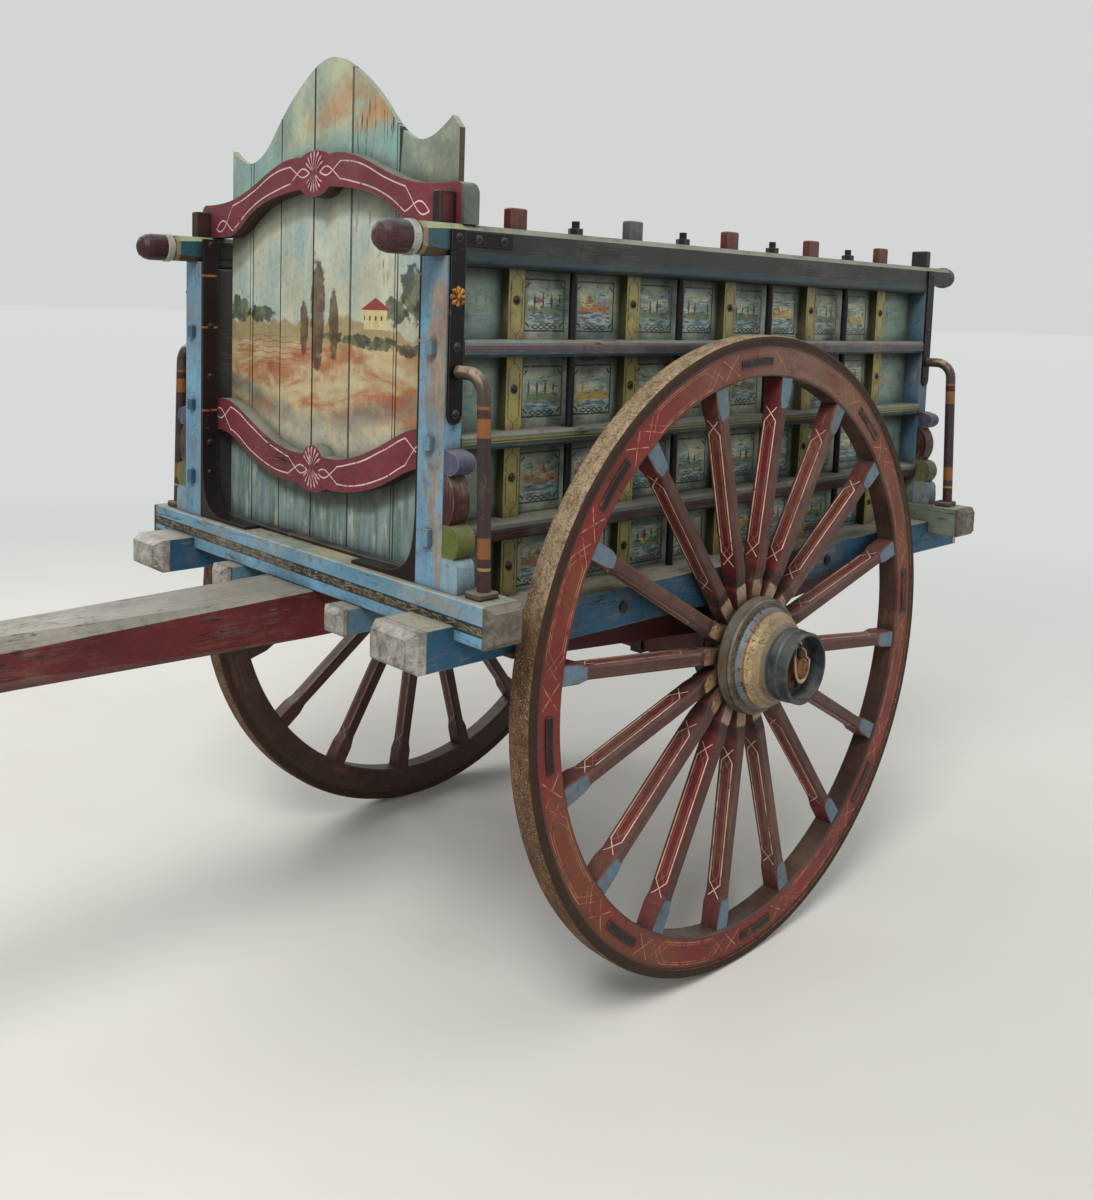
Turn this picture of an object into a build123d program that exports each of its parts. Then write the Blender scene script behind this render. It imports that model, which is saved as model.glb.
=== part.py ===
from build123d import *
from math import cos, degrees, radians
import os

os.makedirs("parts", exist_ok=True)

# Painted bullock cart. Millimetres, +X towards the bullocks, +Y the cart's left side, +Z up.
# Everything is laid out from the axle line on the ground; `shift` moves it to the middle
# of the overall length when the pieces are saved.

seat = 0.3            # gap left between faces that bear on each other
pinPlay = 0.05        # radial play of a shaft that turns in its hole
swing = 6.0           # room beside a piece that swings

# wheels
wheelR = 800.0
tyreThick = 24.0
tyreWide = 66.0
fellDeep = 76.0
fellInset = 4.0       # the felloes stand this far inside the tyre's two edges
spokeCount = 16
spokePhase = 6.75     # angle of the first spoke above the forward direction
fellCount = 8
fellPhase = -4.5      # angle of the first felloe joint
dish = 11.0           # how far the spokes lean out from hub to rim
tongueWide = 20.0
tongueLong = 42.0
crampLong = 126.0
crampWide = 20.0

# nave
naveR = 126.0         # where the spokes are let in
naveEndR = 80.0
naveInR = 95.0
naveTail = 55.7       # from the nave's inner end to the spoke seat
seatHalf = 28.0       # half the width of the spoke seat
bandWide = 36.0
naveNose = 81.0       # from the big band to the nave's outer end
ringReach = 38.0      # the open end ring runs on past the nave
bandThick = 8.0
footWide = 24.0
footLong = 38.0

# axle
armR = 24.0
barHalf = 25.0
bedDeep = 124.0
collarThick = 6.0
pinHigh = 102.0
pinR = 6.0
eyeR = 14.0
clipY = 330.0
clipWide = 35.0
clipThick = 8.0

# frame
poleHalf = 100.0
poleHigh = 112.0
poleTip = 3900.0
poleShoulder = 1600.0
poleTail = 37.0       # pole end behind the rear beam
yokeBack = 190.0      # yoke pin hole back from the tip
yokeR = 18.0
beamHigh = 86.0
beamDeep = 98.0
wheelGap = 41.0       # front beam ahead of the wheels
bodyLong = 1954.0     # front face of the front beam to that of the rear beam
beamReach = 69.0      # beam ends outside the stanchions
beamCap = 20.0
sillIn = 465.0
sillWide = 140.0
sillBelow = 55.0      # sill under the beams
sillAbove = 35.0      # sill between the beams
sillEndRise = 30.0    # its ends rise above the beams' undersides, so the beams are let in
sillReach = 70.0      # sill ends ahead of and behind the beams
sillCap = 43.0
stringerY = 250.0
stringerWide = 70.0
stringerHigh = 60.0
stringerReach = 31.0
stringerCap = 22.0
floorThick = 22.7
floorCount = 6
bolsterHalf = 720.0
bolsterWide = 76.0
bolsterEnd = 37.7

# sides
postIn = 459.0
postWide = 82.0
postDeep = 46.0
postInset = 15.0      # front face of the post behind the beam's
railHigh = 54.0
railInset = 13.0
underHigh = 27.7
sideHigh = 741.0      # top of the rails above the beams
railReach = 64.0      # rail ahead of the front posts
railTail = 106.0
railEdge = 12.0       # the bevel along its top edges
noseHigh = 64.0       # the rail is deeper from the front posts to its front end
noseEdge = 15.0
boardThick = 17.0
stakeThick = 22.0
stakeWide = 47.0
stakeRise = 46.0
stakeCount = 5
frontBay = 174.0
rearBay = 214.0
rodR = 9.0
rodRise = 30.0
rodAhead = 20.0       # rods ahead of the middle between two stakes
midOut = 4.0          # mid rails stand out past the posts
tongueHigh = 6.0
midRails = [(474.0, 36.0), (281.0, 34.0), (84.0, 41.0)]      # height above the beams, thickness
strapWide = 38.0
strapThick = 5.7
frontStrapLong = 403.0
rearStrapLong = 372.0
railStrapLong = 130.0
frontHead = 66.0      # post heads above the rails
frontHeadWide = 25.0
rearHead = 50.0
stanReach = 99.0      # stanchions out from the posts
stanDrop = 296.0      # their upper ends below the rail tops
stanLean = 17.0       # and nearer the posts than their feet
neckR = 14.0
footThick = 15.0

# headboard
plankThick = 15.0
plankCount = 6
archThick = 40.0
kneeHigh = 735.0
kneeReach = 229.0     # the knee irons' feet, in from the posts
kneeThick = 7.0

# prop leg
propX = 2900.0
pivotDrop = 58.0      # pivot under the pole
propPinR = 8.0
lugThick = 8.0
legWide = 48.0
shoeLong = 90.0
propRake = 8.0        # the foot stands this many degrees ahead of the pivot

# levels and lines that follow from these
bolsterIn = sillIn + 5
bolsterOut = bolsterIn + bolsterWide
bedHalf = bolsterOut + 2
naveIn = bedHalf + seat + collarThick + 2
seatIn = naveIn + naveTail
spokeFootY = seatIn + seatHalf
seatOut = spokeFootY + seatHalf
spokeRimY = spokeFootY + dish
tyreOut = spokeRimY + tyreWide / 2
fellInR = wheelR - tyreThick - fellDeep
fellIn = tyreOut - tyreWide + fellInset
fellOut = tyreOut - fellInset
bandOut = seatOut + bandWide
naveOut = bandOut + naveNose
ringOut = naveOut + ringReach
bedBot = wheelR - barHalf - 27
bedTop = wheelR + barHalf + 13
poleBot = bedTop + 35
deckZ = poleBot + poleHigh
deckTop = deckZ + beamHigh
sillBot, sillTop = deckZ - sillBelow, deckZ + sillAbove
sillOut = sillIn + sillWide
frontBeamX = wheelR + wheelGap
bodyFront = frontBeamX + beamDeep
rearBeamX = bodyFront - bodyLong - beamDeep
poleRear = rearBeamX - poleTail
sillFront, sillRear = bodyFront + sillReach, rearBeamX - sillReach
stringerBot = deckZ - stringerHigh
frontPostX = bodyFront - postInset - postDeep
rearPostX = rearBeamX + postInset + 24
postOut = postIn + postWide
stanY = postOut + stanReach
beamHalf = stanY + beamReach
railIn, railOut = postIn + railInset, postOut
railTop = deckTop + sideHigh
railBot = railTop - railHigh
underBot = railBot - seat - underHigh
railFront, railRear = frontPostX + postDeep + railReach, rearPostX - railTail
boardIn = sillIn + 5
boardOut = boardIn + boardThick
stakeIn = boardOut + 1
stakeOut = stakeIn + stakeThick
rodY = boardOut + 27
innerLong = frontPostX - rearPostX - postDeep
stakePitch = (innerLong - frontBay - rearBay) / (stakeCount - 1)
stakeX = [frontPostX - frontBay - k * stakePitch for k in range(stakeCount)]
rodX = [x - stakePitch / 2 + rodAhead for x in stakeX[:-1]]
plankFront = frontBeamX - seat
plankHalf = boardIn - 0.5
plankFar = -444.0     # the planks stop short of the right side's boards
pivotZ = poleBot - pivotDrop


def block(x0, x1, y0, y1, z0, z1):
    return Pos((x0 + x1) / 2, (y0 + y1) / 2, (z0 + z1) / 2) * Box(x1 - x0, y1 - y0, z1 - z0)


def softBlock(x0, x1, y0, y1, z0, z1, edge):
    return chamfer(block(x0, x1, y0, y1, z0, z1).edges(), edge)


def acrossX(points, x0, x1):
    """A plate cut to (y, z) points, x0 to x1 thick."""
    face = make_face(Plane.YZ * Polyline(*points, close=True))
    return Pos(x0, 0, 0) * extrude(face, amount=x1 - x0, dir=(1, 0, 0))


def acrossY(points, y0, y1):
    """A plate cut to (x, z) points, y0 to y1 thick."""
    face = make_face(Plane.XZ * Polyline(*points, close=True))
    return Pos(0, y0, 0) * extrude(face, amount=y1 - y0, dir=(0, 1, 0))


def turned(points):
    """A turned piece about Y from (radius, y) points."""
    return revolve(make_face(Polyline(*points, close=True)), axis=Axis.Y)


def rod(p, q, r):
    """A straight round bar from p to q."""
    a, b = Vector(*p), Vector(*q)
    d = b - a
    return Plane(origin=a, z_dir=d) * (Pos(0, 0, d.length / 2) * Cylinder(r, d.length))


def hexNut(p, axis, r, tall):
    return extrude(Plane(origin=p, z_dir=axis) * RegularPolygon(r, 6), amount=tall)


def mirrored(solid):
    return mirror(solid, about=Plane.XZ)


def eightSides(w, t, c):
    """Corner points of a w by t rectangle with its corners cut by c."""
    a, b = w / 2, t / 2
    right = [(a - c, -b), (a, -b + c), (a, b - c), (a - c, b)]
    return right + [(-y, z) for y, z in reversed(right)]


def bar(sections, toPlane):
    """A tapering bar through (station, width, thickness, corner, side shift, up shift) sections."""
    faces = []
    for station, w, t, c, du, dv in sections:
        pts = [(u + du, v + dv) for u, v in eightSides(w, t, c)]
        faces.append(toPlane(station) * make_face(Polyline(*pts, close=True)))
    return loft(faces, ruled=True)


def alongX(x):
    return Plane(origin=(x, 0, 0), x_dir=(0, 1, 0), z_dir=(1, 0, 0))


def alongY(y):
    return Plane(origin=(0, y, 0), x_dir=(-1, 0, 0), z_dir=(0, 1, 0))


def alongZ(z):
    return Plane(origin=(0, 0, z), x_dir=(1, 0, 0), z_dir=(0, 0, 1))


def group(solids):
    return Compound(list(solids))


def bothSides(solids):
    """The given left-hand solids and their mirror images on the right."""
    return group(solids + [mirrored(s) for s in solids])


nodes = {}


# Wheels. A spoke is made pointing up and turned to its place.
def spoke():
    def lean(r):
        return spokeFootY + dish * (r - naveR) / (fellInR - naveR)

    # station, width round the wheel, thickness, cut corner
    shape = [
        (naveR + seat, 39, 34, 1.5),
        (naveR + 54, 42, 38, 2),
        (naveR + 62, 37, 38, 2),
        (naveR + 90, 34, 54, 5),
        (fellInR - 84, 31, 52, 5),
        (fellInR - 56, 44, 52, 3),
        (fellInR - 1, 46, 49, 1.5),
    ]
    half, foot = tongueWide / 2, footWide / 2
    body = bar([(r, w, t, c, 0, lean(r)) for r, w, t, c in shape], alongZ)
    tenon = block(-foot, foot, spokeFootY - 15, spokeFootY + 15, naveR - footLong, naveR + 6)
    tongue = block(-half, half, spokeRimY - half, spokeRimY + half, fellInR - 6, fellInR + tongueLong)
    return body + tenon + tongue


def felloe():
    """One length of rim with the mortises for its two spokes, its upper joint at angle 0."""
    arc = 360 / fellCount
    gap = degrees(seat / wheelR)
    inR, outR = fellInR, wheelR - tyreThick - seat
    pts = [
        (inR, fellIn + 4), (inR + 4, fellIn), (outR, fellIn),
        (outR, fellOut), (inR + 4, fellOut), (inR, fellOut - 4),
    ]
    ring = revolve(make_face(Polyline(*pts, close=True)), axis=Axis.Y, revolution_arc=arc - 2 * gap)
    piece = Rot(0, gap, 0) * ring
    half = tongueWide / 2 + seat
    first = spokePhase - fellPhase
    for a in (first, first + 360 / spokeCount):
        r0, r1 = fellInR - 12, fellInR + tongueLong + 0.5
        hole = block(-half, half, spokeRimY - half, spokeRimY + half, r0, r1)
        piece -= Rot(0, 90 + a, 0) * hole
    return piece


def wheelPieces():
    """The left wheel's pieces about the axle line, by name."""
    out = {}
    spokes = []
    for k in range(spokeCount):
        angle = spokePhase + k * 360 / spokeCount
        spokes.append(Rot(0, 90 - angle, 0) * spoke())
    out["spokes"] = spokes

    base = felloe()
    joints = [fellPhase + k * 360 / fellCount for k in range(fellCount)]
    out["felloes"] = [Rot(0, -angle, 0) * base for angle in joints]

    inR, y0, y1 = wheelR - tyreThick, tyreOut - tyreWide, tyreOut
    half = [(inR, y1), (wheelR - 9, y1), (wheelR - 3, y1 - 4), (wheelR, y1 - 13)]
    out["tyre"] = [turned(half + [(r, y0 + y1 - y) for r, y in reversed(half)])]

    hole = armR + pinPlay
    nave = [
        (hole, naveIn), (naveInR - 5, naveIn), (naveInR, naveIn + 5), (naveInR, seatIn - 22),
        ((naveR + naveInR) / 2, seatIn - 10), (naveR, seatIn), (naveR, seatOut - 1),
        (naveR + 11, seatOut - 1), (naveR + 11, bandOut), (naveR, bandOut + 5), (naveR - 6, bandOut + 24),
        (naveEndR + 22, bandOut + 48), (naveEndR + 7, naveOut - 18), (naveEndR, naveOut - 12),
        (naveEndR, naveOut), (hole, naveOut),
    ]
    hub = turned(nave)
    half = footWide / 2 + seat
    y0, y1 = spokeFootY - 15 - seat, spokeFootY + 15 + seat
    for k in range(spokeCount):
        cut = block(-half, half, y0, y1, naveR - footLong - 0.5, naveR + 9)
        hub -= Rot(0, 90 - spokePhase - k * 360 / spokeCount, 0) * cut
    out["hub"] = [hub]

    r0, r1, r2 = naveInR + seat, naveR + 11 + seat, naveEndR + seat
    inner = [(r0, naveIn + 6), (r0 + 7, naveIn + 6), (r0 + 7, seatIn - 23), (r0, seatIn - 23)]
    big = [
        (r1, seatOut + 1), (r1 + 8, seatOut + 1), (r1 + 10, seatOut + 4), (r1 + 10, bandOut - 9),
        (r1 + 5, bandOut - 1), (r1, bandOut - 1),
    ]
    end = [
        (r2, naveOut - 11), (r2 + bandThick + 2, naveOut - 11), (r2 + bandThick + 2, naveOut + 6),
        (r2 + bandThick, naveOut + 11), (r2 + bandThick, ringOut - 3), (r2 + bandThick - 3, ringOut),
        (r2, ringOut),
    ]
    out["hub_bands"] = [turned(b) for b in (inner, big, end)]

    mid = wheelR - tyreThick - fellDeep / 2
    lap = degrees(crampLong / 2 / mid)
    r0, r1, y0 = mid - crampWide / 2, mid + crampWide / 2, fellOut + seat
    strip = make_face(Polyline((r0, y0), (r1, y0), (r1, y0 + 3.2), (r0, y0 + 3.2), close=True))
    cramp = revolve(strip, axis=Axis.Y, revolution_arc=2 * lap)
    out["cramps"] = [Rot(0, -angle - lap, 0) * cramp for angle in joints]
    return out


for name, solids in wheelPieces().items():
    placed = [Pos(0, 0, wheelR) * s for s in solids]
    nodes["wheel_" + name + "_left"] = group(placed)
    nodes["wheel_" + name + "_right"] = group([mirrored(s) for s in placed])

# Axle: a square iron bar let into the bed from below, with turned arms
groove = barHalf + seat
ledge = stringerWide / 2 + 5
halfBed = [
    (bedHalf, bedBot), (bedHalf, bedTop), (stringerY + ledge + 20, bedTop),
    (stringerY + ledge, stringerBot - seat), (stringerY - ledge, stringerBot - seat),
    (stringerY - ledge - 20, poleBot - seat),
]
bed = acrossX(halfBed + [(-y, z) for y, z in reversed(halfBed)], -bedDeep / 2, bedDeep / 2)
bed -= block(-groove, groove, -bedHalf - 9, bedHalf + 9, bedBot - 9, wheelR + barHalf + seat)
nodes["axle_bed"] = bed

collar = bedHalf + seat
armEnd = naveOut + 28
washer = naveOut + 0.6
armLine = [
    (0, collar - 3), (armR, collar - 3), (armR, collar), (armR + 20, collar),
    (armR + 20, collar + collarThick), (armR, collar + collarThick), (armR, washer), (armR + 28, washer),
    (armR + 28, washer + 5.4), (armR, washer + 5.4), (armR, armEnd), (armR - 4, armEnd + 4), (0, armEnd + 4),
]
pinY = naveOut + 15
arm = turned(armLine) - rod((0, pinY, -armR * 2), (0, pinY, armR * 2), pinR + seat)
arm = Pos(0, 0, wheelR) * arm
axleBar = block(-barHalf, barHalf, -collar + 2, collar - 2, wheelR - barHalf, wheelR + barHalf)
nodes["axle"] = axleBar + arm + mirrored(arm)

# Linchpin with a flat forged eye at its head
pinTop = wheelR + pinHigh / 2
eye = Cylinder(eyeR, pinR * 1.5) - Cylinder(eyeR / 2, pinR * 2)
linch = rod((0, pinY, wheelR - pinHigh / 2), (0, pinY, pinTop), pinR)
linch = linch + Pos(0, pinY, pinTop + eyeR * 0.6) * (Rot(90, 0, 0) * eye)
nodes["linchpins"] = bothSides([linch])

clipX = bedDeep / 2 + seat
clipLow = bedBot - seat - clipThick
clip = block(-clipX - clipThick, clipX + clipThick, clipY, clipY + clipWide, clipLow, bedBot - seat)
for x in (-clipX - clipThick, clipX):
    clip = clip + block(x, x + clipThick, clipY, clipY + clipWide, clipLow, bedTop - 2)
nodes["axle_clips"] = bothSides([clip])


# Pole: square behind, tapering and rounding off towards the yoke
def poleAt(x):
    """Width, height and corner of the pole at x."""
    far = poleTip - 40
    stations = [(poleRear, 2 * poleHalf, poleHigh, 3), (bodyFront, 2 * poleHalf, poleHigh, 3)]
    stations += [(poleShoulder, 2 * poleHalf - 36, poleHigh, 26), (far, poleHalf, poleHigh - 24, 18)]
    for a, b in zip(stations, stations[1:]):
        if a[0] <= x <= b[0]:
            t = (x - a[0]) / (b[0] - a[0])
            return [a[i] + t * (b[i] - a[i]) for i in (1, 2, 3)]


def poleSection(x, grow=0.0, w=None):
    wide, high, c = w or poleAt(x)
    return (x, wide + 2 * grow, high + 2 * grow, c, 0, poleBot + high / 2)


stops = [poleRear, bodyFront, poleShoulder, poleTip - 40]
sections = [poleSection(x) for x in stops]
sections.append((poleTip, poleHalf - 20, poleHigh - 46, 16, 0, poleBot + (poleHigh - 24) / 2))
pole = bar(sections, alongX)
yokeX = poleTip - yokeBack
pole -= rod((yokeX, 0, poleBot - 20), (yokeX, 0, deckZ + 20), yokeR)
nodes["pole"] = pole


def poleBand(x0, x1, thick):
    """An iron band round the tapering front part of the pole."""
    outer = bar([poleSection(x0, thick), poleSection(x1, thick)], alongX)
    return outer - bar([poleSection(x0 - 10, seat), poleSection(x1 + 10, seat)], alongX)


nodes["pole_bands"] = group([poleBand(yokeX - 110, yokeX - 60, 5), poleBand(yokeX + 80, yokeX + 135, 5)])


# Bed frame
def endCap(x, way, yMid, wide, zTop, high, long):
    """A pyramid-ended metal cap on a timber that runs along X."""
    zMid = zTop - high / 2
    cap = [
        (x + way * seat, wide + 3, high, 2, yMid, zMid),
        (x + way * (seat + long * 0.45), wide + 3, high, 2, yMid, zMid),
        (x + way * long, wide - 27, high - 27, 1, yMid, zMid),
    ]
    return bar(cap, alongX)


stringerFront = bodyFront + stringerReach
stringerX = rearBeamX - stringerReach
y0, y1 = stringerY - stringerWide / 2, stringerY + stringerWide / 2
nodes["stringers"] = bothSides([softBlock(stringerX, stringerFront, y0, y1, stringerBot, deckZ, 3)])

sillEndTop = deckZ + sillEndRise
sillPts = [
    (sillRear, sillBot), (sillFront, sillBot), (sillFront, sillEndTop), (bodyFront + seat, sillEndTop),
    (bodyFront + seat, deckZ), (frontBeamX - seat, deckZ), (frontBeamX - seat, sillTop),
    (rearBeamX + beamDeep + seat, sillTop), (rearBeamX + beamDeep + seat, deckZ),
    (rearBeamX - seat, deckZ), (rearBeamX - seat, sillEndTop), (sillRear, sillEndTop),
]
sill = acrossY(sillPts, sillIn, sillOut)
socket = sillTop - 28
for x in stakeX:
    half = stakeWide / 2 + seat
    sill -= block(x - half, x + half, stakeIn - seat, stakeOut + seat, socket, sillTop + 9)
for x in rodX:
    sill -= rod((x, rodY, sillTop - 60), (x, rodY, sillTop + 9), rodR + seat)
boltZ = (sillBot + sillTop) / 2
boltX = [430.0, 0.0, -430.0, -800.0]
bolts = []
for x in boltX:
    sill -= rod((x, sillOut - 26, boltZ), (x, sillOut + 5, boltZ), 6 + seat)
    shank = rod((x, sillOut - 25, boltZ), (x, sillOut + 5, boltZ), 6)
    bolts.append(shank + hexNut((x, sillOut + seat, boltZ), (0, 1, 0), 13, 6))
nodes["sills"] = bothSides([sill])
nodes["sill_bolts"] = bothSides(bolts)

sillMid = sillIn + sillWide / 2
sillEndHigh = sillBelow + sillEndRise
caps = [
    endCap(sillFront, 1, sillMid, sillWide, sillEndTop, sillEndHigh, sillCap),
    endCap(sillRear, -1, sillMid, sillWide, sillEndTop, sillEndHigh, sillCap),
    endCap(stringerFront, 1, stringerY, stringerWide, deckZ, stringerHigh, stringerCap),
]
nodes["sill_caps"] = bothSides(caps)

beamCaps = []
for name, x0 in (("front_beam", frontBeamX), ("rear_beam", rearBeamX)):
    y0, x1 = beamHalf - beamCap, x0 + beamDeep
    body = block(x0, x1, -y0, y0, deckZ + seat, deckTop)
    nodes[name] = chamfer(body.edges().filter_by(Axis.Y), 3)
    mid, zMid = -(x0 + x1) / 2, (deckZ + deckTop) / 2
    cap = [
        (y0 + seat, beamDeep + 3, beamHigh - 1, 2, mid, zMid),
        (y0 + 7, beamDeep + 3, beamHigh - 1, 2, mid, zMid),
        (beamHalf, beamDeep - 23, beamHigh - 26, 1, mid, zMid),
    ]
    beamCaps.append(bar(cap, alongY))
nodes["beam_caps"] = bothSides(beamCaps)

floorHalf = sillIn - seat
step = 2 * floorHalf / floorCount
x0, x1 = rearBeamX + beamDeep + seat, frontBeamX - seat
floorTop = deckZ + seat + floorThick
boards = []
for k in range(floorCount):
    y0 = -floorHalf + k * step
    boards.append(block(x0, x1, y0 + 1, y0 + step - 1, deckZ + seat, floorTop))
nodes["floor_boards"] = group(boards)

halfBolster = [(bedDeep / 2, bedTop + seat), (bolsterHalf, sillBot - bolsterEnd)]
halfBolster.append((bolsterHalf, sillBot - seat))
bolsterPts = halfBolster + [(-x, z) for x, z in reversed(halfBolster)]
nodes["bolsters"] = bothSides([acrossY(bolsterPts, bolsterIn, bolsterOut)])


def curvedAcrossX(edges, x0, x1):
    """A plate whose outline is the given (y, z) edges, x0 to x1 thick."""
    return Pos(x0, 0, 0) * extrude(make_face(Plane.YZ * edges), amount=x1 - x0, dir=(1, 0, 0))


# Sides
def post(x0, z1):
    """A corner post up to z1, with the scrolled cheek on its outer edge."""
    # the scroll's arcs upwards: middle and end of each, out from the straight edge and up from the beam
    scroll = [
        (53, 26, 51, 49), (48, 62, 37, 70),          # foot
        (52, 101, 40, 131), (30, 135, 19, 137),      # lower roll
        (35, 182, 13, 238), (30, 241, 43, 251),      # long hollow roll
        (46, 270, 27, 284), (12, 288, 0, 288.5),     # upper roll
    ]
    z0 = deckTop + seat
    here = (postOut + 52, z0)
    outline = Line((postIn, z0), here)
    for midOut, midUp, endOut, endUp in scroll:
        there = (postOut + endOut, z0 + endUp)
        outline += ThreePointArc(here, (postOut + midOut, z0 + midUp), there)
        here = there
    outline += Polyline(here, (postOut, z1), (postIn, z1), (postIn, z0))
    return curvedAcrossX(outline, x0, x0 + postDeep)


def side():
    """The left side's pieces, by name."""
    out = {}
    y0, y1 = boardOut + 2, boardOut + 24
    posts = []
    for x0, topZ in ((frontPostX, railTop - noseHigh - seat), (rearPostX, railBot - seat)):
        p = post(x0, topZ)
        for up, high in midRails:
            z0, z1 = deckTop + up + tongueHigh / 2 - seat, deckTop + up + high - tongueHigh / 2 + seat
            p -= block(x0 - 1, x0 + postDeep + 1, y0 - seat, y1 + seat, z0, z1)
        posts.append(p)
    out["posts"] = posts

    inX0, inX1 = rearPostX + postDeep + seat, frontPostX - seat
    rail = block(railRear, frontPostX + 1, railIn, railOut, railBot, railTop)
    rail = chamfer(rail.edges().filter_by(Axis.X).group_by(Axis.Z)[-1], railEdge)
    wide, yMid, zMid = railOut - railIn, (railIn + railOut) / 2, railTop - noseHigh / 2
    nose = [
        (frontPostX, wide, noseHigh, railEdge, yMid, zMid),
        (frontPostX + postDeep, wide, noseHigh, railEdge, yMid, zMid),
        (railFront, wide, noseHigh, noseEdge, yMid, zMid),
    ]
    rail = rail + bar(nose, alongX)
    under = block(inX0, inX1, railIn + 6, railOut, underBot, railBot - seat)
    under = fillet(under.edges().filter_by(Axis.X).group_by(Axis.Z)[0], 10)
    mids = []
    for up, high in midRails:
        z0, z1 = deckTop + up, deckTop + up + high
        mid = block(inX0, inX1, boardOut + seat, postOut + midOut, z0, z1)
        mid = chamfer(mid.edges().filter_by(Axis.X).group_by(Axis.Y)[-1], 6)
        cut = tongueHigh / 2
        mid = mid + block(inX1 - 5, frontPostX + postDeep + 12, y0, y1, z0 + cut, z1 - cut)
        mid = mid + block(rearPostX - 12, inX0 + 5, y0, y1, z0 + cut, z1 - cut)
        mids.append(mid)

    def pierced(piece):
        """Mortises for the stakes and drilled holes for the rods."""
        half = stakeWide / 2 + seat
        for x in stakeX:
            piece -= block(x - half, x + half, stakeIn - seat, stakeOut + seat, deckTop, railTop + 90)
        for x in rodX:
            piece -= rod((x, rodY, deckTop), (x, rodY, railTop + 90), rodR + seat)
        return piece

    def notched(piece):
        """Notches in the back, over the stakes and the rods."""
        for xs, half, toY in ((stakeX, stakeWide / 2, stakeOut), (rodX, rodR, rodY + rodR)):
            for x in xs:
                piece -= block(x - half - seat, x + half + seat, boardOut - 2, toY + seat, deckTop, railTop)
        return piece

    out["top_rails"] = [pierced(rail)]
    out["under_rails"] = [pierced(under)]
    out["mid_rails"] = [notched(m) for m in mids]

    stakes = []
    for x in stakeX:
        s = block(x - stakeWide / 2, x + stakeWide / 2, stakeIn, stakeOut, socket + seat, railTop + stakeRise)
        stakes.append(chamfer(s.edges().group_by(Axis.Z)[-1], 3))
    out["stakes"] = stakes

    rods = []
    for x in rodX:
        r = rod((x, rodY, sillTop - 58), (x, rodY, railTop + rodRise), rodR)
        rods.append(r + hexNut((x, rodY, railTop + seat), (0, 0, 1), rodR + 8, 14))
    out["tie_rods"] = rods

    z0 = sillTop + seat
    high = (underBot - seat - z0) / 4
    planks = []
    for k in range(4):
        plank = block(inX0, inX1, boardIn, boardOut, z0 + k * high + 0.8, z0 + (k + 1) * high - 0.8)
        if k == 0:
            for xa, xb in ((frontBeamX - seat, inX1 + 9), (inX0 - 9, rearBeamX + beamDeep + seat)):
                plank -= block(xa, xb, boardIn - 9, boardOut + 9, z0 - 9, deckTop + seat)
        planks.append(plank)
    out["side_boards"] = planks
    return out


for name, solids in side().items():
    nodes[name] = bothSides(solids)

# Turned knobs on the rail ends, the front ones long with a ring behind, the rear ones short
railMidY = (railIn + railOut) / 2
frontLine = [(0, 0), (34, 0), (36, 3), (36, 17), (32, 20), (34, 28), (34, 58), (31, 71), (24, 82), (14, 88)]
frontLine += [(9, 90), (0, 90)]
rearLine = [(0, 0), (27, 0), (32, 10), (33, 26), (30, 42), (22, 53), (10, 59), (0, 60)]
rearKnobLong = rearLine[-1][1]
frontKnob = Pos(railFront + seat, railMidY, railTop - noseHigh / 2) * (Rot(0, 0, -90) * turned(frontLine))
rearKnob = Pos(railRear - seat, railMidY, railTop - railHigh / 2) * (Rot(0, 0, 90) * turned(rearLine))
nodes["rail_knobs"] = bothSides([frontKnob, rearKnob])

headFrom = railTop + seat
x0, x1, mid, half = frontPostX + 5, frontPostX + postDeep, (postIn + postOut) / 2, frontHeadWide / 2
heads = [softBlock(x0, x1, mid - half, mid + half, headFrom, railTop + frontHead, 2)]
x0, x1, y0, y1 = rearPostX + 6, rearPostX + postDeep - 12, postIn + 21, postOut - 11
heads.append(softBlock(x0, x1, y0, y1, headFrom, railTop + rearHead, 3))
nodes["post_heads"] = bothSides(heads)

strapOut = postOut + seat + strapThick
strapTop = railTop - 12
straps = []
for x0, long in ((frontPostX + 4, frontStrapLong), (rearPostX + 4, rearStrapLong)):
    x1, half, low = x0 + strapWide, strapWide / 2, railTop - long
    pts = [(x0, strapTop), (x0, low + half), (x0 + 6, low + 6), (x0 + half, low)]
    pts += [(x1 - 6, low + 6), (x1, low + half), (x1, strapTop)]
    straps.append(acrossY(pts, postOut + seat, strapOut))
x1 = frontPostX + 4 - seat
straps.append(softBlock(x1 - railStrapLong, x1, railOut + seat, railOut + 4, railTop - 44, railTop - 14, 0.8))
nodes["post_straps"] = bothSides(straps)

neckZ = railTop - stanDrop
neckFrom = strapOut + seat
neckTo = stanY - stanLean
neckBend = (neckTo - neckFrom) * 0.62
footTop = deckTop + footThick
necks, plates = [], []
for x0 in (frontPostX, rearPostX):
    x = x0 + postDeep / 2 - 7
    corners = [(x, neckFrom, neckZ), (x, neckTo, neckZ), (x, stanY, footTop)]
    path = FilletPolyline(*corners, radius=neckBend)
    neck = sweep(Plane(origin=path @ 0, z_dir=path % 0) * Circle(neckR), path=path)
    necks.append(neck - block(x - 30, x + 30, stanY - 30, stanY + 30, footTop - 30, footTop + seat))
    plates.append(softBlock(x - 27, x + 27, stanY - 29, stanY + neckR + 3, deckTop + seat, footTop, 3))
nodes["stanchions"] = bothSides(necks)
nodes["stanchion_plates"] = bothSides(plates)

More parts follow.
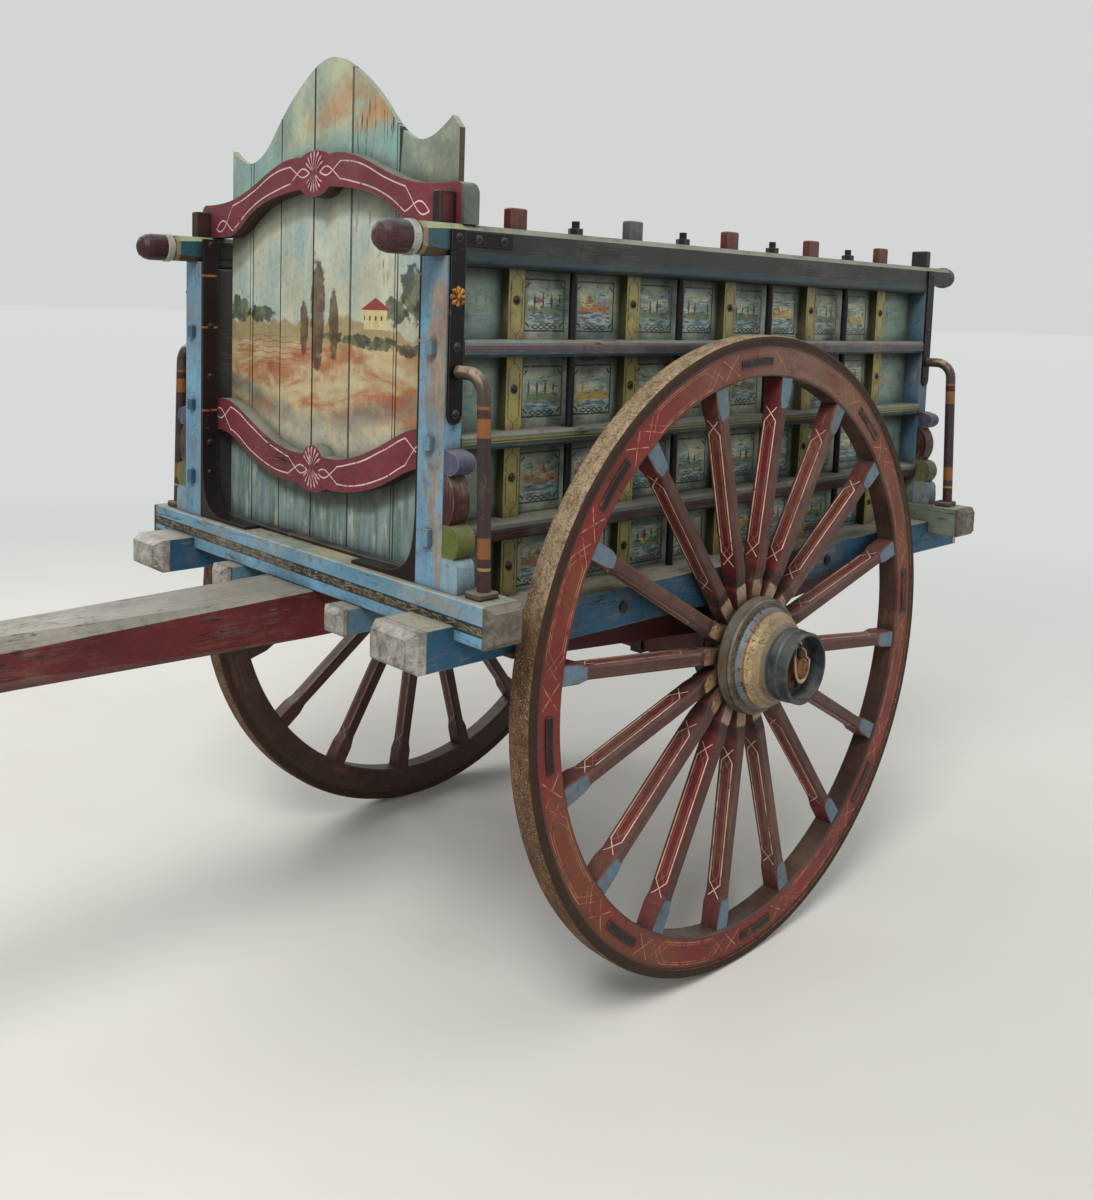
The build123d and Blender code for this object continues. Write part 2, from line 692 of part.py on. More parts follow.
# Headboard: planks cut to one crest. Heights above the beams.
crest = [(0, 1147), (105, 1107), (213, 1021), (300, 943), (360, 929), (412, 947), (446, 969)]
crest = [(-y, up) for y, up in reversed(crest)] + crest[1:]
crest = [(y, deckTop + up) for y, up in crest]
hornEnd = deckTop + 943
sides = [
    crest[-1], (plankHalf, hornEnd), (plankHalf, floorTop + seat), (-plankHalf, floorTop + seat),
    (-plankHalf, hornEnd), crest[0],
]
whole = curvedAcrossX(Spline(*crest) + Polyline(*sides), plankFront - plankThick, plankFront)
for way in (1, -1):
    foot = block(plankFront - 90, plankFront + 9, sillIn - seat, plankHalf + 9, floorTop - 9, sillTop + seat)
    whole -= foot if way == 1 else mirrored(foot)
joints = [plankFar, -352, -205, -62, 92, 262, plankHalf]
planks = []
for k in range(plankCount):
    y0 = joints[k] + (0 if k == 0 else 1.2)
    y1 = joints[k + 1] - (0 if k == plankCount - 1 else 1.2)
    planks.append(whole & block(plankFront - 60, plankFront + 10, y0, y1, floorTop - 20, deckTop + 1300))
nodes["headboard_planks"] = group(planks)


def longEdge(middle, half, level):
    """An arch's long edge: round in the middle up or down to `middle`, then a curve out to each end."""
    right = [(y, level + up) for y, up in half]
    left = [(-y, z) for y, z in reversed(right)]
    return Spline(*left) + ThreePointArc(left[-1], (0, level + middle), right[0]) + Spline(*right)


# Arches: half outlines of (y, height above their level), middle to end
archBack = plankFront + seat
upTop = [(60, 176), (170, 163), (285, 119), (368, 95), (430, 87), (514, 86)]
upLow = [(60, 102), (170, 90), (280, 56), (352, 14), (390, seat)]
endY, corner = postOut - 4, 26
edges = longEdge(188, upTop, railTop) + longEdge(81, upLow, railTop)
for way in (1, -1):
    top, foot = (way * upTop[-1][0], railTop + upTop[-1][1]), (way * endY, railTop + seat)
    under = (way * endY, railTop + upTop[-1][1] - corner)
    edges += ThreePointArc(top, (way * (endY - 7), railTop + upTop[-1][1] - 8), under)
    edges += Polyline(under, foot, (way * upLow[-1][0], railTop + seat))
nodes["upper_arch"] = curvedAcrossX(edges, archBack, archBack + archThick)

lowTop = [(40, 215), (170, 229), (280, 271), (372, 310), (plankHalf, 313)]
lowLow = [(60, 140), (170, 148), (280, 180), (375, 223), (plankHalf, 231)]
edges = longEdge(238, lowTop, deckTop) + longEdge(126, lowLow, deckTop)
for way in (1, -1):
    edges += Line((way * plankHalf, deckTop + lowTop[-1][1]), (way * plankHalf, deckTop + lowLow[-1][1]))
nodes["lower_arch"] = curvedAcrossX(edges, archBack, frontPostX - seat)

# Knee irons: a strap up the inner face of each front post, turned along the beam.
# The bend: how far in from the post, and how high above the beam
bend = [(kneeReach - 100, 10), (69, 18), (34, 40), (13, 90), (kneeThick, 150)]
inner = [(postIn - back, deckTop + up) for back, up in bend]
toe = postIn - kneeReach
kneeTop = deckTop + kneeHigh
rest = [
    inner[-1], (postIn - kneeThick, kneeTop), (postIn - seat, kneeTop), (postIn - seat, deckTop + seat),
    (toe, deckTop + seat), (toe, deckTop + kneeThick + 1), inner[0],
]
knee = curvedAcrossX(Spline(*inner) + Polyline(*rest), frontPostX + 2, frontPostX + postDeep - 1)
nodes["knee_irons"] = bothSides([knee])
half = postIn - 20
nodes["foot_strip"] = softBlock(frontPostX - 27, frontPostX + 1, -half, half, deckTop + seat, deckTop + 9, 2)

# Prop leg: hangs in a forked iron under the pole, stands raked forward and folds back
plateBot = poleBot - seat - 8
lugIn = legWide / 2 + swing
halfLug = [(34, plateBot), (26, pivotZ - 12), (12, pivotZ - 26)]
lugPts = [(propX - x, z) for x, z in halfLug] + [(propX + x, z) for x, z in reversed(halfLug)]
lug = acrossY(lugPts, lugIn, lugIn + lugThick)
lug -= rod((propX, lugIn - 9, pivotZ), (propX, lugIn + lugThick + 9, pivotZ), propPinR + seat)
plate = softBlock(propX - 110, propX + 110, -42, 42, plateBot, poleBot - seat, 1.5)
nodes["prop_bracket"] = plate + lug + mirrored(lug)
nutFrom = lugIn + lugThick + seat
nut = hexNut((propX, nutFrom, pivotZ), (0, 1, 0), 15, 10)
pin = rod((propX, -nutFrom - 5, pivotZ), (propX, nutFrom + 5, pivotZ), propPinR)
nodes["prop_pin"] = pin + nut + mirrored(nut)

tilt = Pos(propX, 0, pivotZ) * Rot(0, -propRake, 0)
legLong = pivotZ / cos(radians(propRake))
legTop = legWide - 2
legLine = [
    (-legLong + shoeLong, legTop, legWide - 4, 9, 0, 0), (-legLong / 2, legWide + 6, legWide, 10, 0, 0),
    (-90, legWide, legTop, 6, 0, 0), (0, legTop, legTop, 1, 0, 0),
]
leg = bar(legLine, alongZ) + Rot(90, 0, 0) * Cylinder(legTop / 2, legTop)
leg -= Rot(90, 0, 0) * Cylinder(propPinR + pinPlay, legWide * 2)
nodes["prop_leg"] = tilt * leg
shoeTop = -legLong + shoeLong - seat
shoeLine = [(-legLong - legWide, legWide, legTop, 10, 0, 0), (shoeTop, legWide + 2, legWide, 10, 0, 0)]
shoe = bar(shoeLine, alongZ)
aboveGround = block(propX - legLong, propX + legLong, -legWide, legWide, 0, pivotZ)
nodes["prop_shoe"] = (tilt * shoe) & aboveGround

# Save, with the origin under the middle of the overall length
shift = (poleTip + railRear - seat - rearKnobLong) / 2
for name, solid in nodes.items():
    export_step(Pos(-shift, 0, 0) * solid, "parts/" + name + ".step")
print(len(nodes), "pieces, shift", shift)
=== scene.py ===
import math

import bpy
from mathutils import Matrix, Vector


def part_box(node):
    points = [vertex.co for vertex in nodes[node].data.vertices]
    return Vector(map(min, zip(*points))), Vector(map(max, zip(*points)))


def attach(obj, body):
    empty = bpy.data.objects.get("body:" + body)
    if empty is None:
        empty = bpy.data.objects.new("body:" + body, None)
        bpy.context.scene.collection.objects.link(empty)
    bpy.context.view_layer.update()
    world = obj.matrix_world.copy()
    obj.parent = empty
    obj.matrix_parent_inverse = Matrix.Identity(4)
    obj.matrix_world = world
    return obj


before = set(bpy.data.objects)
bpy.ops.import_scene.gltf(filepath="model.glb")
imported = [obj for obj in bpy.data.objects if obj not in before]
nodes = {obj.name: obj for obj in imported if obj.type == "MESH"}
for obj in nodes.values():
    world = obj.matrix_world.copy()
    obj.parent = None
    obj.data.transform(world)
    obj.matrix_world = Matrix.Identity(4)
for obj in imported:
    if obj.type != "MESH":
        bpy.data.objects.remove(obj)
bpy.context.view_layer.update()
print("frame loaded,", len(nodes), "CAD pieces")

tyreLow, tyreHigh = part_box("wheel_tyre_left")
axleX = (tyreLow.x + tyreHigh.x) / 2
wheelR = (tyreHigh.z - tyreLow.z) / 2
beamLow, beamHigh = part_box("front_beam")
boardLow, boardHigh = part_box("side_boards")
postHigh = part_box("posts")[1]
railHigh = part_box("top_rails")[1]
deckTop = beamHigh.z
railTop = railHigh.z
one, black = (1, 1, 1), (0, 0, 0, 1)


def colour(red, green, blue):  # display values 0 to 255, as a painter would match them
    def linear(value):
        value /= 255
        return value / 12.92 if value <= 0.04045 else ((value + 0.055) / 1.055) ** 2.4
    return (linear(red), linear(green), linear(blue), 1.0)


# Camera and light
cameraSet = {
    "place": (1.06306, 2.27991, 1.64342),
    "lens": 37.606,
    "turn": math.radians(227.750),
    "tilt": math.radians(-5.541),
    "roll": math.radians(1.592),
    "shift": (0.05615, -0.16460),
}


def makeCamera():
    data = bpy.data.cameras.new("camera")
    data.sensor_fit = "HORIZONTAL"
    data.sensor_width = 36
    data.lens = cameraSet["lens"]
    data.shift_x, data.shift_y = cameraSet["shift"]
    data.clip_end = 200
    camera = bpy.data.objects.new("camera", data)
    turned = Matrix.Rotation(cameraSet["turn"] - math.pi / 2, 4, "Z")
    tilted = Matrix.Rotation(math.pi / 2 + cameraSet["tilt"], 4, "X")
    rolled = Matrix.Rotation(cameraSet["roll"], 4, "Z")
    camera.matrix_world = Matrix.Translation(cameraSet["place"]) @ turned @ tilted @ rolled
    bpy.context.scene.collection.objects.link(camera)
    bpy.context.scene.camera = camera


lampSet = {  # place, aim, size in metres, watts
    "keyLamp": ((3.4, 2.8, 6.2), (-0.9, 0.2, 0.9), 2.6, 400),
    "fillLamp": ((-4.5, 3.6, 3.2), (-1.2, 0.4, 0.8), 3.6, 60),
    "backLamp": ((-1.0, -4.6, 4.4), (-0.8, 0.0, 1.0), 3.6, 120),
}


def makeLamps():
    for name, (place, aim, size, watts) in lampSet.items():
        data = bpy.data.lights.new(name, "AREA")
        data.size = size
        data.energy = watts
        lamp = bpy.data.objects.new(name, data)
        lamp.location = place
        lamp.rotation_euler = (Vector(aim) - Vector(place)).to_track_quat("-Z", "Y").to_euler()
        bpy.context.scene.collection.objects.link(lamp)


class Wire:  # what a node puts out; sums with it add the math nodes they need
    def __init__(self, palette, socket):
        self.palette = palette
        self.socket = socket

    def __add__(self, other):
        return self.palette.calc("ADD", self, other)

    def __radd__(self, other):
        return self.palette.calc("ADD", other, self)

    def __sub__(self, other):
        return self.palette.calc("SUBTRACT", self, other)

    def __rsub__(self, other):
        return self.palette.calc("SUBTRACT", other, self)

    def __mul__(self, other):
        return self.palette.calc("MULTIPLY", self, other)

    def __truediv__(self, other):
        return self.palette.calc("DIVIDE", self, other)

    def __gt__(self, limit):
        return self.palette.calc("GREATER_THAN", self, limit)

    def __abs__(self):
        return self.palette.calc("ABSOLUTE", self)

    def fit(self, low, high, toLow=0.0, toHigh=1.0, **settings):
        inputs = {"Value": self, "From Min": low, "From Max": high, "To Min": toLow, "To Max": toHigh}
        return self.palette.wire("ShaderNodeMapRange", "Result", inputs, **settings)

    def step(self, low, high):  # 0 at low, 1 at high, smooth between
        return self.fit(low, high, interpolation_type="SMOOTHSTEP")

    def line(self, width, soft=0.0006):  # 1 within half a width of 0
        return abs(self).step(width / 2 + soft, width / 2 - soft / 2)


class Palette:  # short ways to add to a node tree
    def __init__(self, tree):
        self.tree = tree

    def plug(self, socket, value):
        if isinstance(value, Wire):
            self.tree.links.new(value.socket, socket)
        elif socket.type == "RGBA" and len(value) == 3:
            socket.default_value = colour(*value)
        else:
            socket.default_value = value

    def add(self, kind, inputs=None, **settings):
        node = self.tree.nodes.new(kind)
        for name, value in settings.items():
            setattr(node, name, value)
        for name, value in (inputs or {}).items():
            self.plug(node.inputs[name], value)
        return node

    def wire(self, kind, output, inputs=None, **settings):
        return Wire(self, self.add(kind, inputs, **settings).outputs[output])

    def calc(self, operation, *values):
        return self.wire("ShaderNodeMath", 0, dict(enumerate(values)), operation=operation)

    def most(self, first, *others):
        for other in others:
            first = self.calc("MAXIMUM", first, other)
        return first

    def least(self, a, b):
        return self.calc("MINIMUM", a, b)

    def wrap(self, value, high, low):
        return self.calc("WRAP", value, high, low)

    def reach(self, a, b):  # the long side of a right angle
        return self.calc("SQRT", a * a + b * b)

    def mix(self, factor, a, b, mode="MIX"):
        return self.wire("ShaderNodeMix", 2, {0: factor, 6: a, 7: b}, data_type="RGBA", blend_type=mode)

    def shade(self, paint, factor):  # a colour made lighter or darker
        grey = self.wire("ShaderNodeCombineColor", 0, {"Red": factor, "Green": factor, "Blue": factor})
        return self.mix(1.0, paint, grey, "MULTIPLY")

    def bands(self, value, bands, soft):  # colours in turn, each from its own start on
        paint = bands[0][1]
        for start, tint in bands[1:]:
            paint = self.mix(value.step(start - soft, start + soft), paint, tint)
        return paint

    def stretch(self, vector, scale, place=(0, 0, 0)):
        inputs = {"Scale": scale, "Location": place, "Vector": vector}
        return self.wire("ShaderNodeMapping", 0, inputs)

    def noise(self, vector, scale, detail=4.0, rough=0.6, swirl=0.0, by=None, at=(0, 0, 0)):
        if by is not None:  # stretched and moved first
            vector = self.stretch(vector, by, at)
        inputs = {"Scale": scale, "Detail": detail, "Roughness": rough, "Distortion": swirl, "Vector": vector}
        return self.wire("ShaderNodeTexNoise", "Fac", inputs)

    def lineNoise(self, value, scale, detail):  # noise along one number
        inputs = {"Scale": scale, "Detail": detail, "W": value}
        return self.wire("ShaderNodeTexNoise", "Fac", inputs, noise_dimensions="1D")

    def chance(self, value):  # a fixed random number for each whole number
        return self.wire("ShaderNodeTexWhiteNoise", "Value", {"W": value}, noise_dimensions="1D")

    def split(self, vector):
        node = self.add("ShaderNodeSeparateXYZ", {"Vector": vector})
        return [Wire(self, output) for output in node.outputs]

    def join(self, x, y, z):
        return self.wire("ShaderNodeCombineXYZ", 0, {"X": x, "Y": y, "Z": z})

    def moved(self, vector, value, steps=(9.0, 4.0, 6.0)):  # on to another part of the pattern
        on = self.join(*(value * step for step in steps))
        return self.wire("ShaderNodeVectorMath", 0, {0: vector, 1: on}, operation="ADD")

    def group(self, tree, **inputs):
        node = self.add("ShaderNodeGroup", inputs, node_tree=tree)
        return {output.name: Wire(self, output) for output in node.outputs}

    def oval(self, u, v, place, size):
        across, up = (u - place[0]) / size[0], (v - place[1]) / size[1]
        return across * across + up * up

    def blob(self, u, v, place, size, rag=None, ragged=0.0):  # soft-edged oval, ragged by a noise
        far = self.calc("SQRT", self.oval(u, v, place, size))
        if rag is not None:
            far = far + (rag - 0.5) * ragged
        return far.step(1.06, 0.9)

    def haze(self, u, v, place, size):  # a very soft oval
        return self.oval(u, v, place, size).step(1.4, 0.1)

    def patch(self, u, v, low, high, soft=0.001):  # a rectangle
        a = u.step(low[0] - soft, low[0]) * u.step(high[0] + soft, high[0])
        b = v.step(low[1] - soft, low[1]) * v.step(high[1] + soft, high[1])
        return a * b


def newGroup(name, takes, gives):  # each input is a kind, or the number that it starts from
    tree = bpy.data.node_groups.new(name, "ShaderNodeTree")
    kinds = {"value": "NodeSocketFloat", "colour": "NodeSocketColor", "vector": "NodeSocketVector"}
    for label, given in takes.items():
        kind = given if given in kinds else "value"
        socket = tree.interface.new_socket(label, in_out="INPUT", socket_type=kinds[kind])
        if kind == "value":
            socket.default_value = given
    for label in gives:
        kind = kinds["colour" if label == "Color" else "value"]
        tree.interface.new_socket(label, in_out="OUTPUT", socket_type=kind)
    p = Palette(tree)
    entry, leave = p.add("NodeGroupInput"), p.add("NodeGroupOutput")

    def give(*values):
        for label, value in zip(gives, values):
            p.plug(leave.inputs[label], value)
        return tree

    return p, give, [Wire(p, entry.outputs[label]) for label in takes]


def makeGrain():  # timber whose length lies along the vector's X
    takes = {"Vector": "vector", "Crackle": 0.5}
    p, give, (vector, crackle) = newGroup("timber grain", takes, ("Fibre", "Crack"))
    fibres = p.noise(vector, 5.0, 7.0, 0.68, 0.25, by=(1.4, 26, 26))
    ridges = p.noise(vector, 3.2, 4.0, 0.55, 0.4, by=(0.9, 13, 13), at=(3.1, 1.7, 0.4))
    split = p.noise(vector, 2.6, 2.0).step(0.72 - crackle * 0.3, 0.8 - crackle * 0.3)
    return give(fibres, abs(ridges - 0.5).step(0.016, 0.004) * split)


def makeEdge():  # 1 on outer and inner edges
    p, give, (radius,) = newGroup("worn edges", {"Radius": 0.005}, ("Edge",))
    bevel = p.wire("ShaderNodeBevel", 0, {"Radius": radius}, samples=4)
    flat = p.wire("ShaderNodeNewGeometry", "Normal")
    dot = p.wire("ShaderNodeVectorMath", "Value", {0: bevel, 1: flat}, operation="DOT_PRODUCT")
    return give(dot.step(0.985, 0.80))


def makeWeathered():  # paint over timber: chipped at edges, faded in patches, streaked along the fibres
    takes = {
        "Vector": "vector", "Paint": "colour", "Wood": "colour", "Wear": 0.4, "Fade": 0.5, "Fibre": 0.5,
        "Crack": 0.0, "Edge": 0.0, "Dirt": 1.0,
    }
    p, give, wires = newGroup("weathered paint", takes, ("Color", "Roughness", "Height"))
    vector, paint, wood, wear, fade, fibre, crack, edge, dirty = wires
    chips = p.noise(vector, 16.0, 8.0, 0.7)
    areas = p.noise(vector, 2.4, 3.0, 0.55)
    level = chips * 0.5 + areas * 0.5 + (fibre - 0.5) * 0.45 + edge * 0.16
    start = 0.78 - wear * 0.5
    bare = level.step(start, start + 0.07)
    thin = level.step(start - 0.14, start + 0.02)  # paint rubbed thin around the bare places
    blotch = p.noise(vector, 5.5, 5.0, 0.62, by=one, at=(5, 2, 9))
    painted = p.shade(paint, blotch.fit(0.3, 0.7, 1.0 - fade * 0.5, 1.0 + fade * 0.4))
    painted = p.shade(painted, p.noise(vector, 70.0, 6.0, 0.75).fit(0.3, 0.7, 0.86, 1.16))
    painted = p.mix(thin * 0.4, painted, p.shade(wood, 0.9))
    dirt = p.noise(vector, 38.0, 5.0, 0.7).step(0.54, 0.70)
    painted = p.mix(dirt * dirty * 0.45, painted, (48, 40, 33))
    scratch = p.noise(vector, 7.0, 3.0, 0.5, by=(1.5, 40, 40), at=(2, 0, 5)) > 0.70
    painted = p.mix(scratch * dirty * 0.5, painted, p.shade(wood, 1.2))
    surface = p.mix(bare, painted, p.shade(wood, fibre.fit(0.3, 0.7, 0.62, 1.25)))
    surface = p.mix(crack * 0.85, surface, (22, 18, 15))
    close = p.wire("ShaderNodeAmbientOcclusion", "AO", {"Distance": 0.045}, samples=6)
    grimeAndShade = close.step(0.86, 0.42) * chips.fit(0.3, 0.65, 0.55, 1.0)  # dirt and painted shade gather in the corners
    surface = p.mix(grimeAndShade * 0.72, surface, (32, 27, 23))
    height = (1.0 - bare) * 0.35 + fibre * 0.5 - crack * 1.4
    return give(surface, (bare + dirt * 0.4).fit(0.0, 1.0, 0.48, 0.86), height)


def makeDust():  # settles on faces that look up
    p, give, (vector, amount) = newGroup("dust", {"Vector": "vector", "Amount": 0.5}, ("Dust",))
    facing = p.split(p.wire("ShaderNodeTexCoord", "Normal"))[2]
    patchy = p.noise(vector, 7.0, 6.0, 0.65).step(0.3, 0.7)
    return give(facing.step(0.35, 0.95) * patchy * amount)


def makeIron():  # forged iron: hammer marks, rust in patches and fine specks
    takes = {"Vector": "vector", "Rust": 0.5, "Edge": 0.0, "Paint": "colour"}
    p, give, wires = newGroup("forged iron", takes, ("Color", "Roughness", "Height", "Metallic"))
    vector, rust, edge, paint = wires
    broad, fine = p.noise(vector, 9.0, 6.0, 0.65), p.noise(vector, 85.0, 5.0, 0.7)
    start = 0.75 - rust * 0.5
    rusty = (broad * 0.6 + fine * 0.4).step(start, start + 0.1)
    brown = p.mix(fine.step(0.35, 0.65), (70, 42, 28), (122, 78, 48))
    bright = p.mix(edge * 0.4, paint, (120, 112, 104))
    height = broad * 0.6 + fine * (0.15 + rusty * 0.5)
    return give(p.mix(rusty, bright, brown), rusty.fit(0.0, 1.0, 0.42, 0.86), height, (1.0 - rusty) * 0.55)


def makeWheelPlace():  # where a point is on its wheel
    takes, gives = {"Vector": "vector"}, ("Radius", "Angle", "Out", "Side")
    p, give, (vector,) = newGroup("wheel place", takes, gives)
    x, y, z = p.split(vector)
    ahead, up = x - axleX, z - wheelR
    facing = p.split(p.wire("ShaderNodeTexCoord", "Normal"))[1]
    return give(p.reach(ahead, up), p.calc("ARCTAN2", up, ahead), facing * p.calc("SIGN", y), abs(y))


grainGroup = makeGrain()
edgeGroup = makeEdge()
weatherGroup = makeWeathered()
dustGroup = makeDust()
ironGroup = makeIron()
wheelGroup = makeWheelPlace()
print("shared effects made")

alongAxes = {  # how the object's axes are laid so that the timber's length is first
    "x": (0, 0, 0), "y": (0, 0, -math.pi / 2), "z": (0, math.pi / 2, 0),
}
dustTint = (0.36, 0.32, 0.27, 1)


class Finish(Palette):  # one material, with its own Principled shader
    def __init__(self, name):
        self.material = bpy.data.materials.new(name)
        self.material.use_nodes = True
        Palette.__init__(self, self.material.node_tree)
        self.shader = self.tree.nodes["Principled BSDF"]
        self.shader.inputs["Specular IOR Level"].default_value = 0.28  # old paint and rust hardly shine
        self.place = self.wire("ShaderNodeTexCoord", "Object")
        self.x, self.y, self.z = self.split(self.place)
        self.nx, self.ny, self.nz = self.split(self.wire("ShaderNodeTexCoord", "Normal"))

    def outward(self):  # 1 on faces that look away from the cart's middle, -1 on those that look in
        return self.ny * self.calc("SIGN", self.y)

    def edge(self, radius):
        return self.group(edgeGroup, Radius=radius)["Edge"]

    def weathered(self, vector, paint, wood, wear, fade, crackle, edgeWidth=0.004, dirt=1.0):
        grain = self.group(grainGroup, Vector=vector, Crackle=crackle)
        return self.group(
            weatherGroup, Vector=vector, Paint=paint, Wood=wood, Wear=wear, Fade=fade,
            Fibre=grain["Fibre"], Crack=grain["Crack"], Edge=self.edge(edgeWidth), Dirt=dirt,
        )

    def painted(
        self, paint, wood, wear, fade=0.5, axis="x", crackle=0.5, edgeWidth=0.005, shift=None, dirt=1.0
    ):
        place = self.place
        if shift is not None:  # each board gets a piece of grain of its own
            place = self.moved(place, shift, (7.3, 3.9, 5.1))
        laid = self.wire("ShaderNodeMapping", 0, {"Rotation": alongAxes[axis], "Vector": place})
        return self.weathered(laid, paint, wood, wear, fade, crackle, edgeWidth, dirt)

    def iron(self, paint, rust, edgeWidth=0.003):
        edge = self.edge(edgeWidth) if edgeWidth else 0.0
        return self.group(ironGroup, Vector=self.place, Rust=rust, Edge=edge, Paint=paint)

    def dusted(self, surface, amount, tint=dustTint):
        return self.mix(self.group(dustGroup, Vector=self.place, Amount=amount)["Dust"], surface, tint)

    def finish(self, surface, roughness, height, bump=0.35, depth=0.0025, metallic=0.0):
        bumped = {"Strength": bump, "Distance": depth, "Height": height}
        self.plug(self.shader.inputs["Base Color"], surface)
        self.plug(self.shader.inputs["Roughness"], roughness)
        self.plug(self.shader.inputs["Metallic"], metallic)
        self.plug(self.shader.inputs["Normal"], self.wire("ShaderNodeBump", 0, bumped))
        return self.material

    def timberDone(self, out, dust, tint=dustTint):
        return self.finish(self.dusted(out["Color"], dust, tint), out["Roughness"], out["Height"])

    def ironDone(self, out, surface, metallic=None):
        shine = out["Metallic"] if metallic is None else metallic
        return self.finish(surface, out["Roughness"], out["Height"], 0.5, 0.0016, shine)


def plainTimber(name, wood, axis):
    f = Finish(name)
    return f.timberDone(f.painted(wood, wood, 0.9, 0.5, axis, 0.8), 0.4)


def paintedTimber(name, paint, wood, axis):
    f = Finish(name)
    return f.timberDone(f.painted(paint, wood, 0.3, 0.5, axis), 0.3)


def ironFinish(name, paint, rust, dust=0.3):
    f = Finish(name)
    out = f.iron(paint, rust, 0.004)
    return f.ironDone(out, f.dusted(out["Color"], dust))


# Wheels
spokeSet = {
    "count": 16, "phase": math.radians(6.75), "foot": 0.126, "flare": 0.622, "rim": 0.700,
    "lean": (0.640, 0.651),  # how far out the spoke's middle is at foot and rim
    "reds": ((108, 34, 38), (72, 29, 29)), "blues": ((58, 74, 88), (102, 126, 140)), "wood": (102, 78, 66),
    "outlines": [  # from the spoke's middle, start and end along it, strength, colour
        (0.0092, 0.288, 0.580, 0.7, (168, 96, 72)), (0.0160, 0.262, 0.606, 1.0, (220, 192, 168)),
    ],
}
rimSet = {
    "count": 8, "phase": math.radians(-4.5), "inner": 0.700, "outer": 0.776,
    "reds": ((106, 30, 28), (108, 52, 30)), "line": ((176, 96, 58), (204, 162, 126)), "wood": (88, 60, 46),
    "cross": 0.102,  # its middle, from the joint
    "outlines": [(0.0262, 0.156, 0.9), (0.0205, 0.178, 0.6)],  # from the rim's middle, start, strength
}


def around(f, angle, piece):  # turn from the nearest spoke or joint, and its number
    pitch = 2 * math.pi / piece["count"]
    start = angle - piece["phase"]
    return f.wrap(start, pitch / 2, -pitch / 2), f.calc("ROUND", start / pitch)


def spokeFinish():
    f = Finish("spoke paint")
    spot = f.group(wheelGroup, Vector=f.place)
    turn, number = around(f, spot["Angle"], spokeSet)
    luck = f.chance(number + f.calc("SIGN", f.y) * 40.0)
    across = spot["Radius"] * f.calc("SINE", turn)
    along = spot["Radius"] * f.calc("COSINE", turn)
    laid = f.join(along, across, f.y)
    own = f.moved(laid, luck)
    front = spot["Out"].step(0.75, 0.92)
    side = abs(spot["Out"]).step(0.45, 0.25)
    near = f.y.step(-0.01, 0.01)
    paint = f.mix(f.chance(number + 7.0), *spokeSet["reds"])
    paint = f.mix(side, (68, 37, 35), paint)
    paint = f.mix(f.noise(own, 6.0, 3.0) * 0.36, paint, (92, 60, 53))
    cut = spokeSet["flare"] + (f.noise(laid, 30.0) - 0.5) * 0.012
    flared = along.step(cut, cut + 0.004) * front * near
    paint = f.mix(flared, paint, f.mix(f.noise(laid, 18.0, 4.0), *spokeSet["blues"]))
    foot = along.step(0.190, 0.184) * (f.noise(laid, 34.0) + luck * 0.2).step(0.40, 0.50)
    paint = f.mix(foot * (front * near), paint, f.mix(luck, (150, 122, 82), (156, 130, 112)))
    neck = along.step(0.184, 0.192) * along.step(0.226, 0.212)
    paint = f.mix(neck * 0.75, paint, (42, 28, 26))

    # on the sides two outlines, faint orange and cream, whose lines cross and run on at both ends
    deep = abs(spot["Side"] - along.fit(spokeSet["foot"], spokeSet["rim"], *spokeSet["lean"]))
    brushed = f.noise(own, 46.0, 5.0).step(0.28, 0.46) * side
    for reach, start, end, strong, tint in spokeSet["outlines"]:
        close = f.least(abs(along - start), abs(along - end))
        stroke = (deep - f.least(close * 0.9, reach)).line(0.0028)
        ends = along.step(start - 0.018, start - 0.016) * along.step(end + 0.018, end + 0.016)
        paint = f.mix(stroke * ends * (brushed * strong), paint, tint)
    # painted shade: the far wheel's spokes are darkened
    paint = f.mix(near, f.mix(0.55, paint, (50, 30, 30)), paint)
    out = f.weathered(own, paint, spokeSet["wood"], 0.38, 0.6, 0.4)
    return f.timberDone(out, 0.36, (120, 98, 88))


